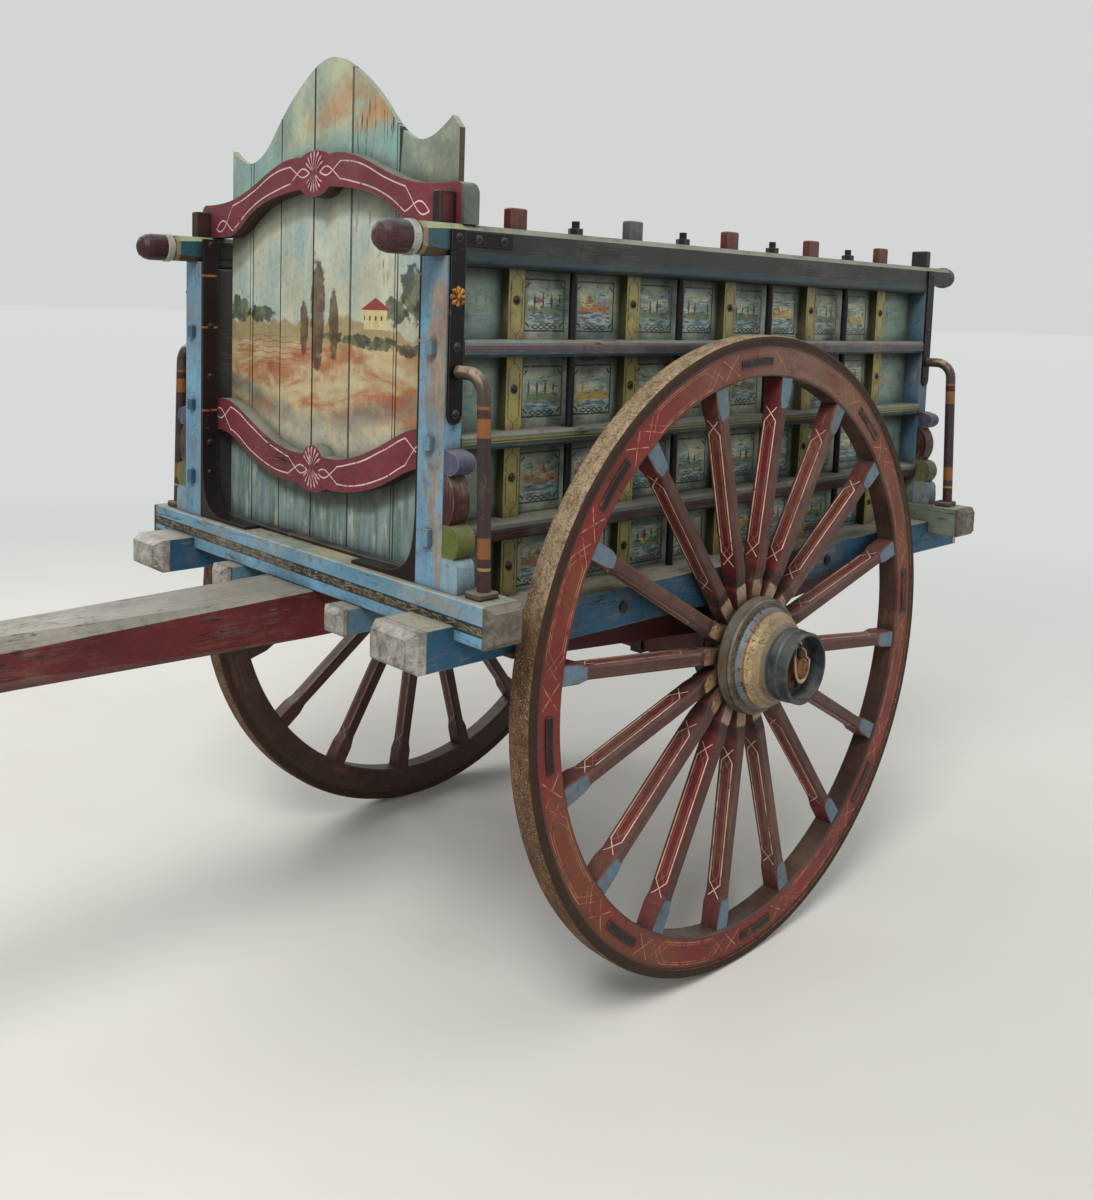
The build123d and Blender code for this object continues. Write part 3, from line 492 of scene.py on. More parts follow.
def felloeFinish():
    f = Finish("rim paint")
    spot = f.group(wheelGroup, Vector=f.place)
    mean = (rimSet["inner"] + rimSet["outer"]) / 2
    along = around(f, spot["Angle"], rimSet)[0] * mean  # from the nearest joint
    across = spot["Radius"] - mean
    laid = f.join(spot["Angle"] * mean, across, f.y)
    front = spot["Out"].step(0.82, 0.94)
    near = f.y.step(-0.01, 0.01)
    paint = f.mix(f.noise(laid, 2.2, 3.0).step(0.40, 0.58), *rimSet["reds"])
    rims = (abs(across) + (f.noise(laid, 20.0, 4.0) - 0.5) * 0.012).step(0.029, 0.036)
    paint = f.mix(rims * 0.6, paint, (62, 38, 30))  # dirtier along both edges
    paint = f.mix(front, (54, 34, 29), paint)
    away = abs(along)
    offset = away - rimSet["cross"]
    drawn = (abs(across) - abs(offset) * 0.85).line(0.0028) * abs(offset).step(0.030, 0.028)
    for reach, start, strong in rimSet["outlines"]:  # crossed at the ends
        stroke = (abs(across) - f.least(abs(away - start) * 0.9, reach)).line(0.0018)
        drawn = f.most(drawn, stroke * away.step(start - 0.018, start - 0.016) * strong)
    brushed = f.noise(laid, 46.0, 4.0).step(0.34, 0.56)
    drawn = drawn * front * brushed * near
    paint = f.mix(drawn * 0.85, paint, f.mix(f.noise(laid, 8.0), *rimSet["line"]))
    paint = f.mix(along.line(0.0016) * 0.8, paint, (24, 18, 16))
    # painted shade: the far wheel's felloes are darkened
    paint = f.mix(near, f.mix(0.5, paint, (50, 34, 32)), paint)
    out = f.weathered(laid, paint, rimSet["wood"], 0.36, 0.6, 0.5)
    rise, run = f.calc("SINE", spot["Angle"]), f.calc("COSINE", spot["Angle"])
    upper = (rise + run * -0.5).step(0.55, 0.95)
    film = (0.04 + upper * 0.50) * f.noise(laid, 5.0, 5.0, 0.65).step(0.34, 0.62)
    surface = f.mix(film, out["Color"], (108, 90, 74))  # road dust, thickest on the upper rear
    muddy = across.step(0.016, 0.038) * f.noise(laid, 12.0, 5.0).step(0.35, 0.6)
    surface = f.mix(muddy * 0.6, surface, (64, 46, 34))
    return f.finish(f.dusted(surface, 0.3, (130, 112, 92)), out["Roughness"], out["Height"])


tyreSet = {
    "pale": ((96, 78, 58), (168, 148, 118)), "brown": ((52, 33, 24), (112, 84, 58)),
    "side": ((26, 20, 17), (54, 39, 29)), "grit": (206, 188, 158),
    "grits": [(150.0, 0.24, 26.0), (260.0, 0.26, 17.0)],  # how close they lie, their size, their patches
}


def tyreFinish():
    f = Finish("tyre rust")
    spot = f.group(wheelGroup, Vector=f.place)
    laid = f.join(spot["Angle"] * wheelR, spot["Radius"], f.y)
    out = f.group(ironGroup, Vector=laid, Rust=0.85, Edge=0.0, Paint=(66, 56, 50))
    tread = abs(spot["Out"]).step(0.5, 0.3)
    earth = f.noise(laid, 20.0, 6.0, 0.7, by=(1, 2, 2))
    grit = f.noise(laid, 150.0, 5.0, 0.8)
    mixed = (earth * 0.4 + grit * 0.6).step(0.40, 0.60)
    rise, run = f.calc("SINE", spot["Angle"]), f.calc("COSINE", spot["Angle"])
    # the tread is paler towards its upper front: dust and a painted highlight
    high = (rise + run * 0.35).step(0.35, 1.0) + (f.noise(laid, 7.0, 6.0) - 0.5) * 0.8
    dustAndHighlight = f.mix(high.step(0.15, 0.85), f.mix(mixed, *tyreSet["brown"]), f.mix(mixed, *tyreSet["pale"]))
    surface = f.mix(tread * 0.92, out["Color"], dustAndHighlight)
    chips = []
    for scale, reach, patches in tyreSet["grits"]:  # pale grit stuck to the tread
        inputs = {"Scale": scale, "Randomness": 1.0, "Vector": laid}
        chip = f.wire("ShaderNodeTexVoronoi", "Distance", inputs, feature="F1")
        chips.append(chip.step(reach, reach * 0.6) * f.noise(laid, patches, 5.0, 0.7).step(0.46, 0.60))
    chips = f.most(*chips)
    surface = f.mix(chips * tread * 0.75, surface, tyreSet["grit"])
    side = abs(spot["Out"]).step(0.6, 0.85)
    surface = f.mix(side * 0.92, surface, f.mix(f.noise(laid, 16.0, 5.0), *tyreSet["side"]))
    return f.finish(surface, out["Roughness"], out["Height"] + chips * 0.5 + grit * 0.5, 0.8, 0.0022)


hubSet = {
    "wood": (130, 110, 84), "soot": (70, 60, 48),
    "rings": [  # how far out each ring of paint starts, and its colour
        (0.0, (44, 34, 30)), (0.612, (78, 44, 38)), (0.7035, (34, 32, 29)), (0.7085, (104, 124, 134)),
        (0.722, (134, 82, 54)), (0.728, (168, 148, 106)), (0.742, (146, 126, 92)),
        (0.756, (112, 96, 74)), (0.764, (66, 70, 76)),
    ],
}


def hubFinish():
    f = Finish("nave paint")
    spot = f.group(wheelGroup, Vector=f.place)
    laid = f.join(spot["Side"], spot["Angle"] * 0.1, spot["Radius"])
    side = spot["Side"] + (f.noise(laid, 9.0) - 0.5) * 0.006
    paint = f.bands(side, hubSet["rings"], 0.0008)
    soot = f.noise(laid, 7.0, 5.0, 0.65, by=(3, 1, 1)).step(0.42, 0.66)
    paint = f.mix(soot * 0.45, paint, hubSet["soot"])
    return f.timberDone(f.weathered(laid, paint, hubSet["wood"], 0.26, 0.7, 0.7), 0.3)


bandSet = {
    "big": ((74, 68, 56), (112, 112, 98)), "nose": ((32, 34, 44), (74, 80, 78)),
    "inner": (50, 44, 40), "groove": 0.6965,  # metres from the cart's middle
}


def bandFinish():
    f = Finish("nave bands")
    side = abs(f.y)
    patchy = f.noise(f.place, 18.0, 6.0, 0.7).step(0.38, 0.62)
    big = f.mix(patchy, *bandSet["big"])
    big = f.mix(f.noise(f.place, 9.0, 4.0).step(0.50, 0.62), big, (92, 76, 60))
    paint = f.mix(side.step(0.64, 0.66), bandSet["inner"], big)
    paint = f.mix((side - bandSet["groove"]).line(0.003) * 0.8, paint, (30, 28, 25))
    paint = f.mix(side.step(0.745, 0.755), paint, f.mix(patchy, *bandSet["nose"]))
    out = f.iron(paint, 0.36)
    dented = out["Height"] + f.noise(f.place, 26.0, 3.0) * 1.4
    surface, rough = f.dusted(out["Color"], 0.5), out["Roughness"] + 0.1
    return f.finish(surface, rough, dented, 0.7, 0.0022, out["Metallic"] * 0.5)


def axleFinish():
    f = Finish("axle iron")
    tip = abs(f.y).step(tyreHigh.y + 0.10, tyreHigh.y + 0.11)
    out = f.iron(f.mix(tip, (48, 40, 36), (132, 84, 46)), tip.fit(0, 1, 0.5, 0.85))
    return f.ironDone(out, out["Color"])


# The body's timbers
def pieceBoxes(name):  # boxes of a node's separate solids
    mesh = nodes[name].data
    home = {}

    def root(key):
        while home[key] != key:
            home[key] = home[home[key]]
            key = home[key]
        return key

    keys = [tuple(round(v * 20000) for v in vertex.co) for vertex in mesh.vertices]
    for key in keys:
        home.setdefault(key, key)
    for face in mesh.polygons:
        first = root(keys[face.vertices[0]])
        for vertex in face.vertices[1:]:
            home[root(keys[vertex])] = first
    boxes = {}
    for vertex, key in zip(mesh.vertices, keys):
        low, high = boxes.setdefault(root(key), (list(vertex.co), list(vertex.co)))
        for i, value in enumerate(vertex.co):
            low[i], high[i] = min(low[i], value), max(high[i], value)
    return [(Vector(low), Vector(high)) for low, high in boxes.values()]


def middle(box):
    return (box[0] + box[1]) / 2


def leftBoxes(name, order):
    return sorted((box for box in pieceBoxes(name) if middle(box).y > 0), key=order)


def frontFirst(box):
    return -middle(box).x


def lowFirst(box):
    return middle(box).z


stakeBoxes = leftBoxes("stakes", frontFirst)
midBoxes = leftBoxes("mid_rails", lowFirst)
frontPost, rearPost = leftBoxes("posts", frontFirst)[:2]
stakeXs = [middle(box).x for box in stakeBoxes]
stakePitch = (stakeXs[0] - stakeXs[-1]) / (len(stakeXs) - 1)
rowLows = [boardLow.z] + [box[1].z for box in midBoxes]
rowHighs = [box[0].z for box in midBoxes] + [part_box("under_rails")[0].z]
rowMiddles = [(low + high) / 2 for low, high in zip(rowLows, rowHighs)]
print("rows at", [round(z, 3) for z in rowMiddles], "stakes at", [round(x, 3) for x in stakeXs])


def rowPlace(f):  # height from the middle of the row, and the row's number
    level, row = rowMiddles[0], 0.0
    for box, low, high in zip(midBoxes, rowMiddles, rowMiddles[1:]):
        above = f.z > middle(box).z
        level = level + above * (high - low)
        row = row + above
    return f.z - level, row


panelSet = {
    "ground": ((72, 92, 86), (160, 168, 148)), "sky": ((112, 140, 144), (190, 190, 162)),
    "water": ((48, 84, 104), (146, 158, 148)), "fields": ((168, 138, 46), (84, 104, 66), (156, 74, 36)),
    "hut": ((176, 164, 136), (140, 74, 48)), "trees": ((160, 140, 46), (38, 52, 40)),
    "dabs": ((186, 164, 60), (158, 84, 50)), "ink": (16, 28, 46), "wood": (112, 104, 86),
    "ends": ((84, 112, 106), (120, 134, 122)), "inside": ((104, 98, 84), (54, 52, 50)),
    "middle": 0.082, "half": (0.062, 0.056),  # each picture's middle from the bay's, and its half size
}


def panelFinish():
    f = Finish("painted panels")
    v, row = rowPlace(f)
    bay = (stakeXs[0] - f.x) / stakePitch
    bayNumber = f.calc("FLOOR", bay)
    across = (bay - bayNumber - 0.5) * stakePitch
    u = abs(across) - panelSet["middle"]
    cell = bayNumber * 2.0 + (across > 0.0) + row * 17.0
    cell = cell + (f.y > 0.0) * 90.0
    luck, more = f.chance(cell), f.chance(cell + 0.37)
    spot = f.join(u + luck * 3.0, v + more * 3.0, cell)

    paint = f.mix(f.noise(spot, 9.0, 5.0).step(0.30, 0.70), *panelSet["ground"])
    shape = f.noise(spot, 30.0, 4.0) - 0.5
    faded = (abs(u) + shape * 0.03).step(0.058, 0.044) * abs(v + 0.004).step(0.042, 0.034)
    sky = f.mix(f.noise(spot, 16.0, 4.0, by=(1, 3, 1)).step(0.36, 0.64), *panelSet["sky"])
    paint = f.mix(faded * 0.8, paint, sky)
    rise = v - (shape * 0.03 + (luck - 0.5) * 0.018)  # above the horizon
    field = f.mix(more.step(0.3, 0.6), *panelSet["fields"][:2])
    field = f.mix(luck.step(0.66, 0.74), field, panelSet["fields"][2])
    water = f.mix(f.noise(spot, 26.0, 3.0, by=(1, 5, 1)).step(0.44, 0.58), *panelSet["water"])
    land = rise.step(0.002, -0.002) * faded
    paint = f.mix(land * 0.85, paint, f.mix((rise + shape * 0.02).step(-0.020, -0.012), water, field))
    hut = abs(u - (more - 0.5) * 0.05) * 0.8 + abs(rise - 0.004)
    hut = hut.step(0.016, 0.013) * faded * (luck > 0.45)
    paint = f.mix(hut * 0.85, paint, f.mix(rise.step(0.004, 0.006), *panelSet["hut"]))
    lone = f.wrap(u + luck * 0.04, 0.013, -0.013)  # poplars in a row, drawn in single strokes
    poplar = (abs(lone) * 4.0 + abs(rise - 0.010)).step(0.020, 0.015)
    poplar = poplar * faded * (f.noise(spot, 26.0, by=(1, 0.1, 1), at=(4, 0, 0)) > 0.46)
    paint = f.mix(poplar * 0.9, paint, f.mix(more.step(0.4, 0.5), *panelSet["trees"]))
    strokes = f.noise(spot, 22.0, 3.0, by=(1.5, 9, 1)) > 0.60
    paint = f.mix(strokes * faded * 0.85, paint, (28, 38, 50))
    dabs = f.noise(spot, 34.0, 3.0, by=(1, 2.4, 1), at=(7, 1, 3)) > 0.64  # loose touches of bright paint
    paint = f.mix(dabs * faded * 0.8, paint, f.mix(more > 0.5, *panelSet["dabs"]))

    # a frame with loops along its foot and a leaf in each corner
    shaky = (f.noise(spot, 45.0, 2.0) - 0.5) * 0.004
    box = f.most(*(abs(at + shaky) - half for at, half in zip((u, v), panelSet["half"]))).line(0.0038)
    loops = abs(f.calc("SINE", u * 170.0) * 0.0044)
    lower = (abs(v + 0.0475) - loops).line(0.0028) * abs(u).step(0.040, 0.038)
    leaf = (abs(u) - 0.050 - (abs(v) - 0.045) * -1.2).line(0.0060)
    leaf = leaf * f.most(0.050 - abs(u), 0.040 - abs(v)).step(0.004, 0.002)
    ink = f.most(box, lower, leaf) * f.noise(spot, 60.0, 3.0).step(0.28, 0.42)
    cells = bay.step(-0.02, 0.0) * bay.step(4.02, 4.0)
    paint = f.mix(ink * cells * 0.95, paint, panelSet["ink"])
    paint = f.mix((1.0 - cells) * 0.75, paint, f.mix(f.noise(f.place, 7.0), *panelSet["ends"]))
    shade = abs(across).step(stakePitch / 2 - 0.018, stakePitch / 2 - 0.044) * v.step(0.070, 0.034)
    paint = f.mix((1.0 - shade) * 0.68, paint, (30, 42, 38))

    inside = f.mix(f.x.step(stakeXs[0], stakeXs[0] + 0.05), *panelSet["inside"])
    paint = f.mix(f.outward() > 0.3, inside, paint)
    return f.timberDone(f.painted(paint, panelSet["wood"], 0.26, 0.45, "x", 0.45), 0.25)


stakeSet = {
    "olives": ((116, 110, 60), (146, 136, 84)), "ink": ((40, 34, 22), (104, 44, 30)),
    "tops": ((84, 32, 34), (72, 74, 80)), "flanks": (64, 66, 36), "wood": (98, 88, 60),
    "half": (0.0165, 0.066),  # half width and half height of the outline
}


def stakeFinish():
    f = Finish("stake paint")
    v = rowPlace(f)[0]
    bay = (stakeXs[0] - f.x) / stakePitch
    number = f.calc("ROUND", bay)
    u = (bay - number) * stakePitch
    outer = f.outward() > 0.3
    wide, tall = stakeSet["half"]
    paint = f.mix(f.noise(f.place, 12.0), *stakeSet["olives"])
    reach = f.least((tall - abs(v)) * 1.1, wide)  # comes to a point above and below
    shaky = (f.noise(f.place, 60.0, 2.0) - 0.5) * 0.003
    outline = (abs(u) + shaky - reach).line(0.0030) * abs(v).step(0.068, 0.066)
    tail = (u + shaky).line(0.0028) * abs(v).step(0.064, 0.066)
    ink = f.most(outline, tail) * f.noise(f.place, 80.0).step(0.34, 0.48)
    paint = f.mix(ink * outer * 0.85, paint, f.mix(v.step(-0.03, -0.05), *stakeSet["ink"]))
    paint = f.mix(1.0 - outer, paint, stakeSet["flanks"])
    tops = f.mix(abs(number - 1.0).step(0.6, 0.4), *stakeSet["tops"])
    paint = f.mix(f.z.step(railTop - 0.001, railTop + 0.001), paint, tops)
    return f.timberDone(f.painted(paint, stakeSet["wood"], 0.34, 0.45, "z", 0.5), 0.3)


midRailSet = {
    "bands": [  # upper band, its edge line, lower band, from the lowest rail up
        ((96, 98, 90), (44, 36, 36), (50, 32, 34)),
        ((84, 98, 88), (120, 110, 46), (34, 50, 52)),
        ((86, 98, 100), (96, 40, 42), (46, 62, 70)),
    ],
    "top": (98, 100, 92), "tenons": ((40, 84, 104), (92, 122, 142)), "wood": (104, 94, 80),
}


def midRailFinish():
    f = Finish("mid rail paint")
    paint = None
    for box, (upper, line, lower) in zip(midBoxes, midRailSet["bands"]):
        v = f.z - middle(box).z
        own = f.mix(v.step(0.001, 0.004), lower, upper)
        own = f.mix((v - 0.0045).line(0.0028), own, line)
        own = f.mix((v + 0.0015).line(0.0022), own, line)
        paint = own if paint is None else f.mix(f.z > box[0].z - 0.01, paint, own)
    paint = f.mix(f.nz.step(0.5, 0.8), paint, midRailSet["top"])
    through = f.x > frontPost[1].x - 0.003  # the tenons that come through the front posts
    paint = f.mix(through, paint, f.mix(f.y > 0.0, *midRailSet["tenons"]))
    return f.timberDone(f.painted(paint, midRailSet["wood"], 0.30), 0.35)


topRailSet = {
    "side": ((18, 22, 22), (40, 42, 38)), "top": ((96, 98, 88), (146, 146, 130)), "wood": (78, 74, 64),
    "front": ((38, 72, 82), (146, 154, 108)), "under": (72, 58, 40), "tip": ((128, 128, 112), (120, 88, 54)),
}


def topRailFinish():
    f = Finish("top rail paint")
    top = f.nz.step(0.4, 0.8)
    paint = f.mix(f.noise(f.place, 20.0, by=(0.4, 1, 3)), *topRailSet["side"])
    scratch = f.noise(f.place, 30.0, 5.0, 0.7, by=(2, 1, 6)) > 0.67
    paint = f.mix(scratch * 0.5, paint, (108, 108, 100))
    paint = f.mix(top, paint, f.mix(f.noise(f.place, 14.0, by=(0.5, 3, 1)), *topRailSet["top"]))
    front = f.mix(f.nz.step(-0.3, -0.6), f.mix(top, *topRailSet["front"]), topRailSet["under"])
    paint = f.mix(f.x.step(frontPost[0].x - 0.012, frontPost[0].x), paint, front)
    tip = f.x.step(railHigh.x - 0.014, railHigh.x - 0.010)
    paint = f.mix(tip, paint, f.mix(f.noise(f.place, 24.0), *topRailSet["tip"]))
    return f.timberDone(f.painted(paint, topRailSet["wood"], 0.26), 0.4)


postSet = {
    "blues": ((66, 118, 150), (118, 162, 184)), "rear": (58, 92, 112), "inner": (34, 31, 30),
    "rubbed": ((136, 108, 92), (148, 138, 118), (112, 128, 136)), "wood": (122, 108, 92),
    "lobes": [  # height above the beam where each colour of the cheek starts
        (0.0, (118, 144, 156)), (0.070, (86, 92, 40)), (0.137, (56, 20, 23)), (0.240, (40, 54, 92)),
    ],
}


def postFinish():
    f = Finish("post paint")
    near = f.y.step(0.0, 0.01)
    frontPair = f.x.step(-1.0, -0.9)
    facing = f.nx.step(0.6, 0.9)
    streak = f.noise(f.place, 10.0, 4.0, by=(1, 1, 0.4))
    dull = f.mix(frontPair, postSet["rear"], f.mix(streak, *postSet["blues"]))
    rough = f.noise(f.place, 13.0, 8.0, 0.72, by=(1, 1.6, 0.35))
    worn = f.blob(f.y, f.z, (0.520, deckTop + 0.42), (0.036, 0.27), rough, 3.8)
    worn = f.most(worn, f.blob(f.y, f.z, (0.530, deckTop + 0.10), (0.016, 0.09), rough, 2.8))
    worn = worn * (near * facing) * frontPair
    rubbed = f.mix(rough.step(0.40, 0.60), *postSet["rubbed"][:2])
    rubbed = f.mix(streak.step(0.52, 0.60), rubbed, postSet["rubbed"][2])
    paint = f.mix(worn * 0.9, dull, rubbed)
    paint = f.mix(f.outward().step(-0.6, -0.9), paint, postSet["inner"])
    cheek = abs(f.y).step(postHigh.y - 0.0535, postHigh.y - 0.0505)
    up = f.z - deckTop
    tint = f.bands(up, postSet["lobes"], 0.002)
    tint = f.mix(frontPair, f.shade(tint, 0.75), tint)
    paint = f.mix(cheek * up.step(0.30, 0.29), paint, tint)
    return f.timberDone(f.painted(paint, postSet["wood"], 0.42, 0.5, "z", 0.6), 0.25)


headSet = {
    "half": (0.0205, 0.0125, 0.033), "rear": (40, 34, 36), "front": ((48, 27, 30), (76, 27, 31)),
    "panel": (30, 23, 24), "wood": (74, 52, 44),
}


def headFinish():
    f = Finish("post head paint")
    halfX, halfY, halfZ = headSet["half"]
    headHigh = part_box("post_heads")[1]
    up = abs(f.z - (railTop + halfZ)) - halfZ
    frontPair = f.x.step(-1.0, -0.9)
    paint = f.mix(frontPair, headSet["rear"], f.mix(f.y > 0.0, *headSet["front"]))
    flank = f.most(abs(f.x - (headHigh.x - halfX)) - halfX, up).step(-0.008, -0.006)
    brow = f.most(abs(abs(f.y) - (headHigh.y - halfY)) - halfY, up).step(-0.005, -0.003)
    dark = f.most(flank * abs(f.ny).step(0.6, 0.9), brow * f.nx.step(0.6, 0.9))
    paint = f.mix(dark * frontPair, paint, headSet["panel"])
    return f.timberDone(f.painted(paint, headSet["wood"], 0.30, 0.5, "z", 0.5), 0.3)


knobSet = {
    "reds": ((44, 28, 32), (66, 28, 34)), "ring": ((150, 164, 162), (140, 132, 112)),
    "rear": (58, 50, 46), "wood": (92, 76, 72), "dust": (112, 116, 122),
}


def knobFinish():
    f = Finish("knob paint")
    ring = (f.x - railHigh.x).step(0.021, 0.019)
    isFront = f.x.step(-0.5, -0.4)
    paint = f.mix(f.noise(f.place, 20.0, 4.0), *knobSet["reds"])
    paint = f.mix(ring * isFront, paint, f.mix(f.noise(f.place, 30.0), *knobSet["ring"]))
    paint = f.mix(1.0 - isFront, paint, knobSet["rear"])
    out = f.painted(paint, knobSet["wood"], 0.32)
    dented = out["Height"] + f.noise(f.place, 34.0, 3.0) * 1.5
    # pale grey on the knob's upper faces: dust and a painted highlight
    return f.finish(f.dusted(out["Color"], 0.75, knobSet["dust"]), out["Roughness"], dented, 0.5)


beamSet = {
    "top": ((112, 118, 112), (156, 158, 142)), "yellow": (178, 172, 92), "band": (128, 132, 124),
    "ground": ((24, 28, 32), (52, 54, 52)), "scroll": (132, 116, 94), "wood": (124, 114, 98),
    "repeat": 0.118, "line": 0.0026,  # length of one scroll and width of its lines, in metres
    "curls": [  # place along the scroll, lift, radius
        (-0.030, 0.0020, 0.0050), (0.030, -0.0020, 0.0050), (-0.012, -0.006, 0.0028), (0.012, 0.006, 0.0028),
    ],
    "leaves": [  # place, lift, lean
        (-0.046, 0.0045, 0.6), (0.046, -0.0045, 0.6), (0.0, 0.007, -0.4), (0.0, -0.007, -0.4),
    ],
}


def beamFinish(name, face, frieze):
    f = Finish(name)
    facing = f.nx.step(0.6, 0.9)
    paint = f.mix(f.noise(f.place, 8.0, 4.0, by=(1, 0.5, 1)), face, f.shade(face, 1.25))
    if frieze:  # dark, with beige scrolls along the front face, under a worn band
        upper = (f.z - deckTop).step(-0.036, -0.033) * facing
        patchy = f.noise(f.place, 11.0, 6.0, 0.7, by=(1, 0.4, 1)).step(0.42, 0.62)
        paint = f.mix(upper * patchy, paint, beamSet["band"])
        v = f.z - (deckTop - 0.046) + f.y * 0.0074
        strip = abs(v).step(0.0125, 0.0112) * facing
        w = f.wrap(f.y, beamSet["repeat"] / 2, -beamSet["repeat"] / 2)
        wave = f.calc("SINE", f.y * (2 * math.pi / beamSet["repeat"])) * 0.0055
        drawn = (v - wave).line(beamSet["line"])
        for place, lift, radius in beamSet["curls"]:
            drawn = f.most(drawn, (f.reach(w - place, v - lift) - radius).line(beamSet["line"]))
        for place, lift, lean in beamSet["leaves"]:
            du, dv = w - place, v - lift
            drawn = f.most(drawn, f.blob(du + dv * lean, dv, (0, 0), (0.009, 0.0028)))
        drawn = drawn * f.noise(f.place, 55.0, 4.0).step(0.32, 0.52)
        ground = f.mix(f.noise(f.place, 30.0), *beamSet["ground"])
        paint = f.mix(strip, paint, f.mix(drawn * 0.75, ground, beamSet["scroll"]))
    top = f.mix(f.noise(f.place, 9.0, 5.0, by=(2, 0.5, 1)), *beamSet["top"])
    yellowed = f.haze(f.y, f.x, (0.30, beamLow.x + 0.03), (0.30, 0.075))
    yellowed = yellowed * f.noise(f.place, 12.0, 5.0, 0.7, by=(2, 0.5, 1)).step(0.40, 0.58)
    paint = f.mix(f.nz.step(0.5, 0.9), paint, f.mix(yellowed * 0.8, top, beamSet["yellow"]))
    return f.timberDone(f.painted(paint, beamSet["wood"], 0.38, 0.5, "y", 1.0), 0.3)


def sillFinish(name, paint, bright, topTint=(146, 142, 124), wood=(128, 112, 92)):
    f = Finish(name)
    hue = f.mix(f.noise(f.place, 9.0, 4.0, by=(0.4, 1, 2)), paint, f.shade(paint, bright))
    return f.timberDone(f.painted(f.mix(f.nz.step(0.5, 0.9), hue, topTint), wood, 0.34), 0.4)


def capFinish(name, dull, bright):
    f = Finish(name)
    paint = f.mix(f.noise(f.place, 42.0, 6.0, 0.7).step(0.38, 0.62), dull, bright)
    paint = f.mix(f.noise(f.place, 11.0, 3.0).step(0.56, 0.66), paint, f.shade(dull, 0.8))
    rim = f.edge(0.008) * f.noise(f.place, 24.0, 4.0).step(0.30, 0.50)
    paint = f.mix(rim * 0.75, paint, (70, 66, 60))
    return f.timberDone(f.painted(paint, (82, 70, 58), 0.44, 0.4, "x", 0.3), 0.3)


poleSet = {
    "side": ((62, 20, 23), (104, 34, 34)), "top": ((100, 106, 104), (146, 138, 122)), "wood": (112, 100, 84),
}


def poleFinish():
    f = Finish("pole paint")
    side = f.mix(f.noise(f.place, 12.0, 5.0, by=(0.3, 1, 2)), *poleSet["side"])
    top = f.mix(f.noise(f.place, 9.0, 5.0, by=(0.25, 2.5, 1)), *poleSet["top"])
    rubbed = (f.nz + (f.noise(f.place, 14.0, 5.0, by=(0.4, 2, 2)) - 0.5) * 0.8).step(0.15, 0.45)
    paint = f.mix(f.most(f.nz.step(0.5, 0.9), rubbed), side, top)
    return f.timberDone(f.painted(paint, poleSet["wood"], 0.28, 0.5, "x", 1.0), 0.25)


# Headboard
archLines = {  # distance from the middle, height above the arch's level, both in metres
    "upperTop": [
        (0.0, 0.188), (0.06, 0.176), (0.17, 0.163), (0.285, 0.119), (0.368, 0.095), (0.43, 0.087),
        (0.6, 0.086),
    ],
    "upperLow": [(0.0, 0.081), (0.06, 0.102), (0.17, 0.090), (0.28, 0.056), (0.352, 0.014), (0.6, -0.12)],
    "lowerTop": [(0.0, 0.238), (0.04, 0.215), (0.17, 0.229), (0.28, 0.271), (0.372, 0.310), (0.6, 0.318)],
    "lowerLow": [(0.0, 0.126), (0.06, 0.140), (0.17, 0.148), (0.28, 0.180), (0.375, 0.223), (0.6, 0.236)],
}
archReach = 0.6


def curveThrough(f, value, name):  # height of an arch line at a distance from the middle
    node = f.add("ShaderNodeFloatCurve", {"Value": value / archReach})
    line = node.mapping.curves[0].points
    for k, (away, up) in enumerate(archLines[name]):
        at = (away / archReach, (up + 0.2) / 0.6)
        if k < 2:
            line[k].location = at
        else:
            line.new(*at)
    node.mapping.update()
    return Wire(f, node.outputs[0]) * 0.6 - 0.2


archSet = {
    "reds": ((116, 44, 54), (86, 37, 43)), "line": (210, 182, 176), "top": (112, 118, 104),
    "under": (62, 38, 36), "ends": (78, 84, 78), "wood": (104, 84, 78), "inset": 0.0145,
    "inner": 0.074, "short": 0.052, "slant": 0.030, "long": 0.052,  # line work, from the arch's middle
    "loops": (0.010, 0.013),  # half height of the short and the long loop
}


def archFinish(name, top, low, level, outerLeft, outerRight):
    f = Finish(name)
    away = abs(f.y)
    outerEnd = f.y.step(-0.01, 0.01).fit(0.0, 1.0, outerRight, outerLeft)  # the lines cross here
    upper = f.z - level - curveThrough(f, away, top)
    lower = f.z - level - curveThrough(f, away, low)
    mid = (upper + lower) * 0.5  # height from the arch's middle line
    half = (lower - upper) * 0.5 - archSet["inset"]
    paint = f.mix(f.noise(f.place, 16.0, 4.0), *archSet["reds"])

    # the two white lines close and cross at both ends, and open again into a loop
    start, slant, begin = archSet["inner"], archSet["slant"], archSet["inner"] - archSet["short"]
    tip = outerEnd + archSet["long"]
    opening = f.least(away.fit(start, start + slant), away.fit(outerEnd, outerEnd - slant))
    spread = half * opening
    for (first, last), high in zip(((begin, start), (outerEnd, tip)), archSet["loops"]):
        spread = spread + f.calc("SINE", away.fit(first, last, 0.0, math.pi)) * high
    marks = (abs(mid) - spread).line(0.0030)
    marks = marks * (away.step(begin - 0.002, begin) * away.step(tip + 0.002, tip))
    marks = marks * f.nx.step(0.6, 0.9) * f.noise(f.place, 70.0, 3.0).step(0.30, 0.44)
    paint = f.mix(marks * 0.9, paint, archSet["line"])
    paint = f.mix(f.nz.step(0.25, 0.6), paint, archSet["top"])
    paint = f.mix(f.nz.step(-0.25, -0.6), paint, archSet["under"])
    ragged = away + (f.noise(f.place, 40.0) - 0.5) * 0.012
    paint = f.mix(ragged.step(0.524, 0.530) * (f.z > railTop), paint, archSet["ends"])
    return f.timberDone(f.painted(paint, archSet["wood"], 0.22, 0.5, "y", 0.3), 0.35)


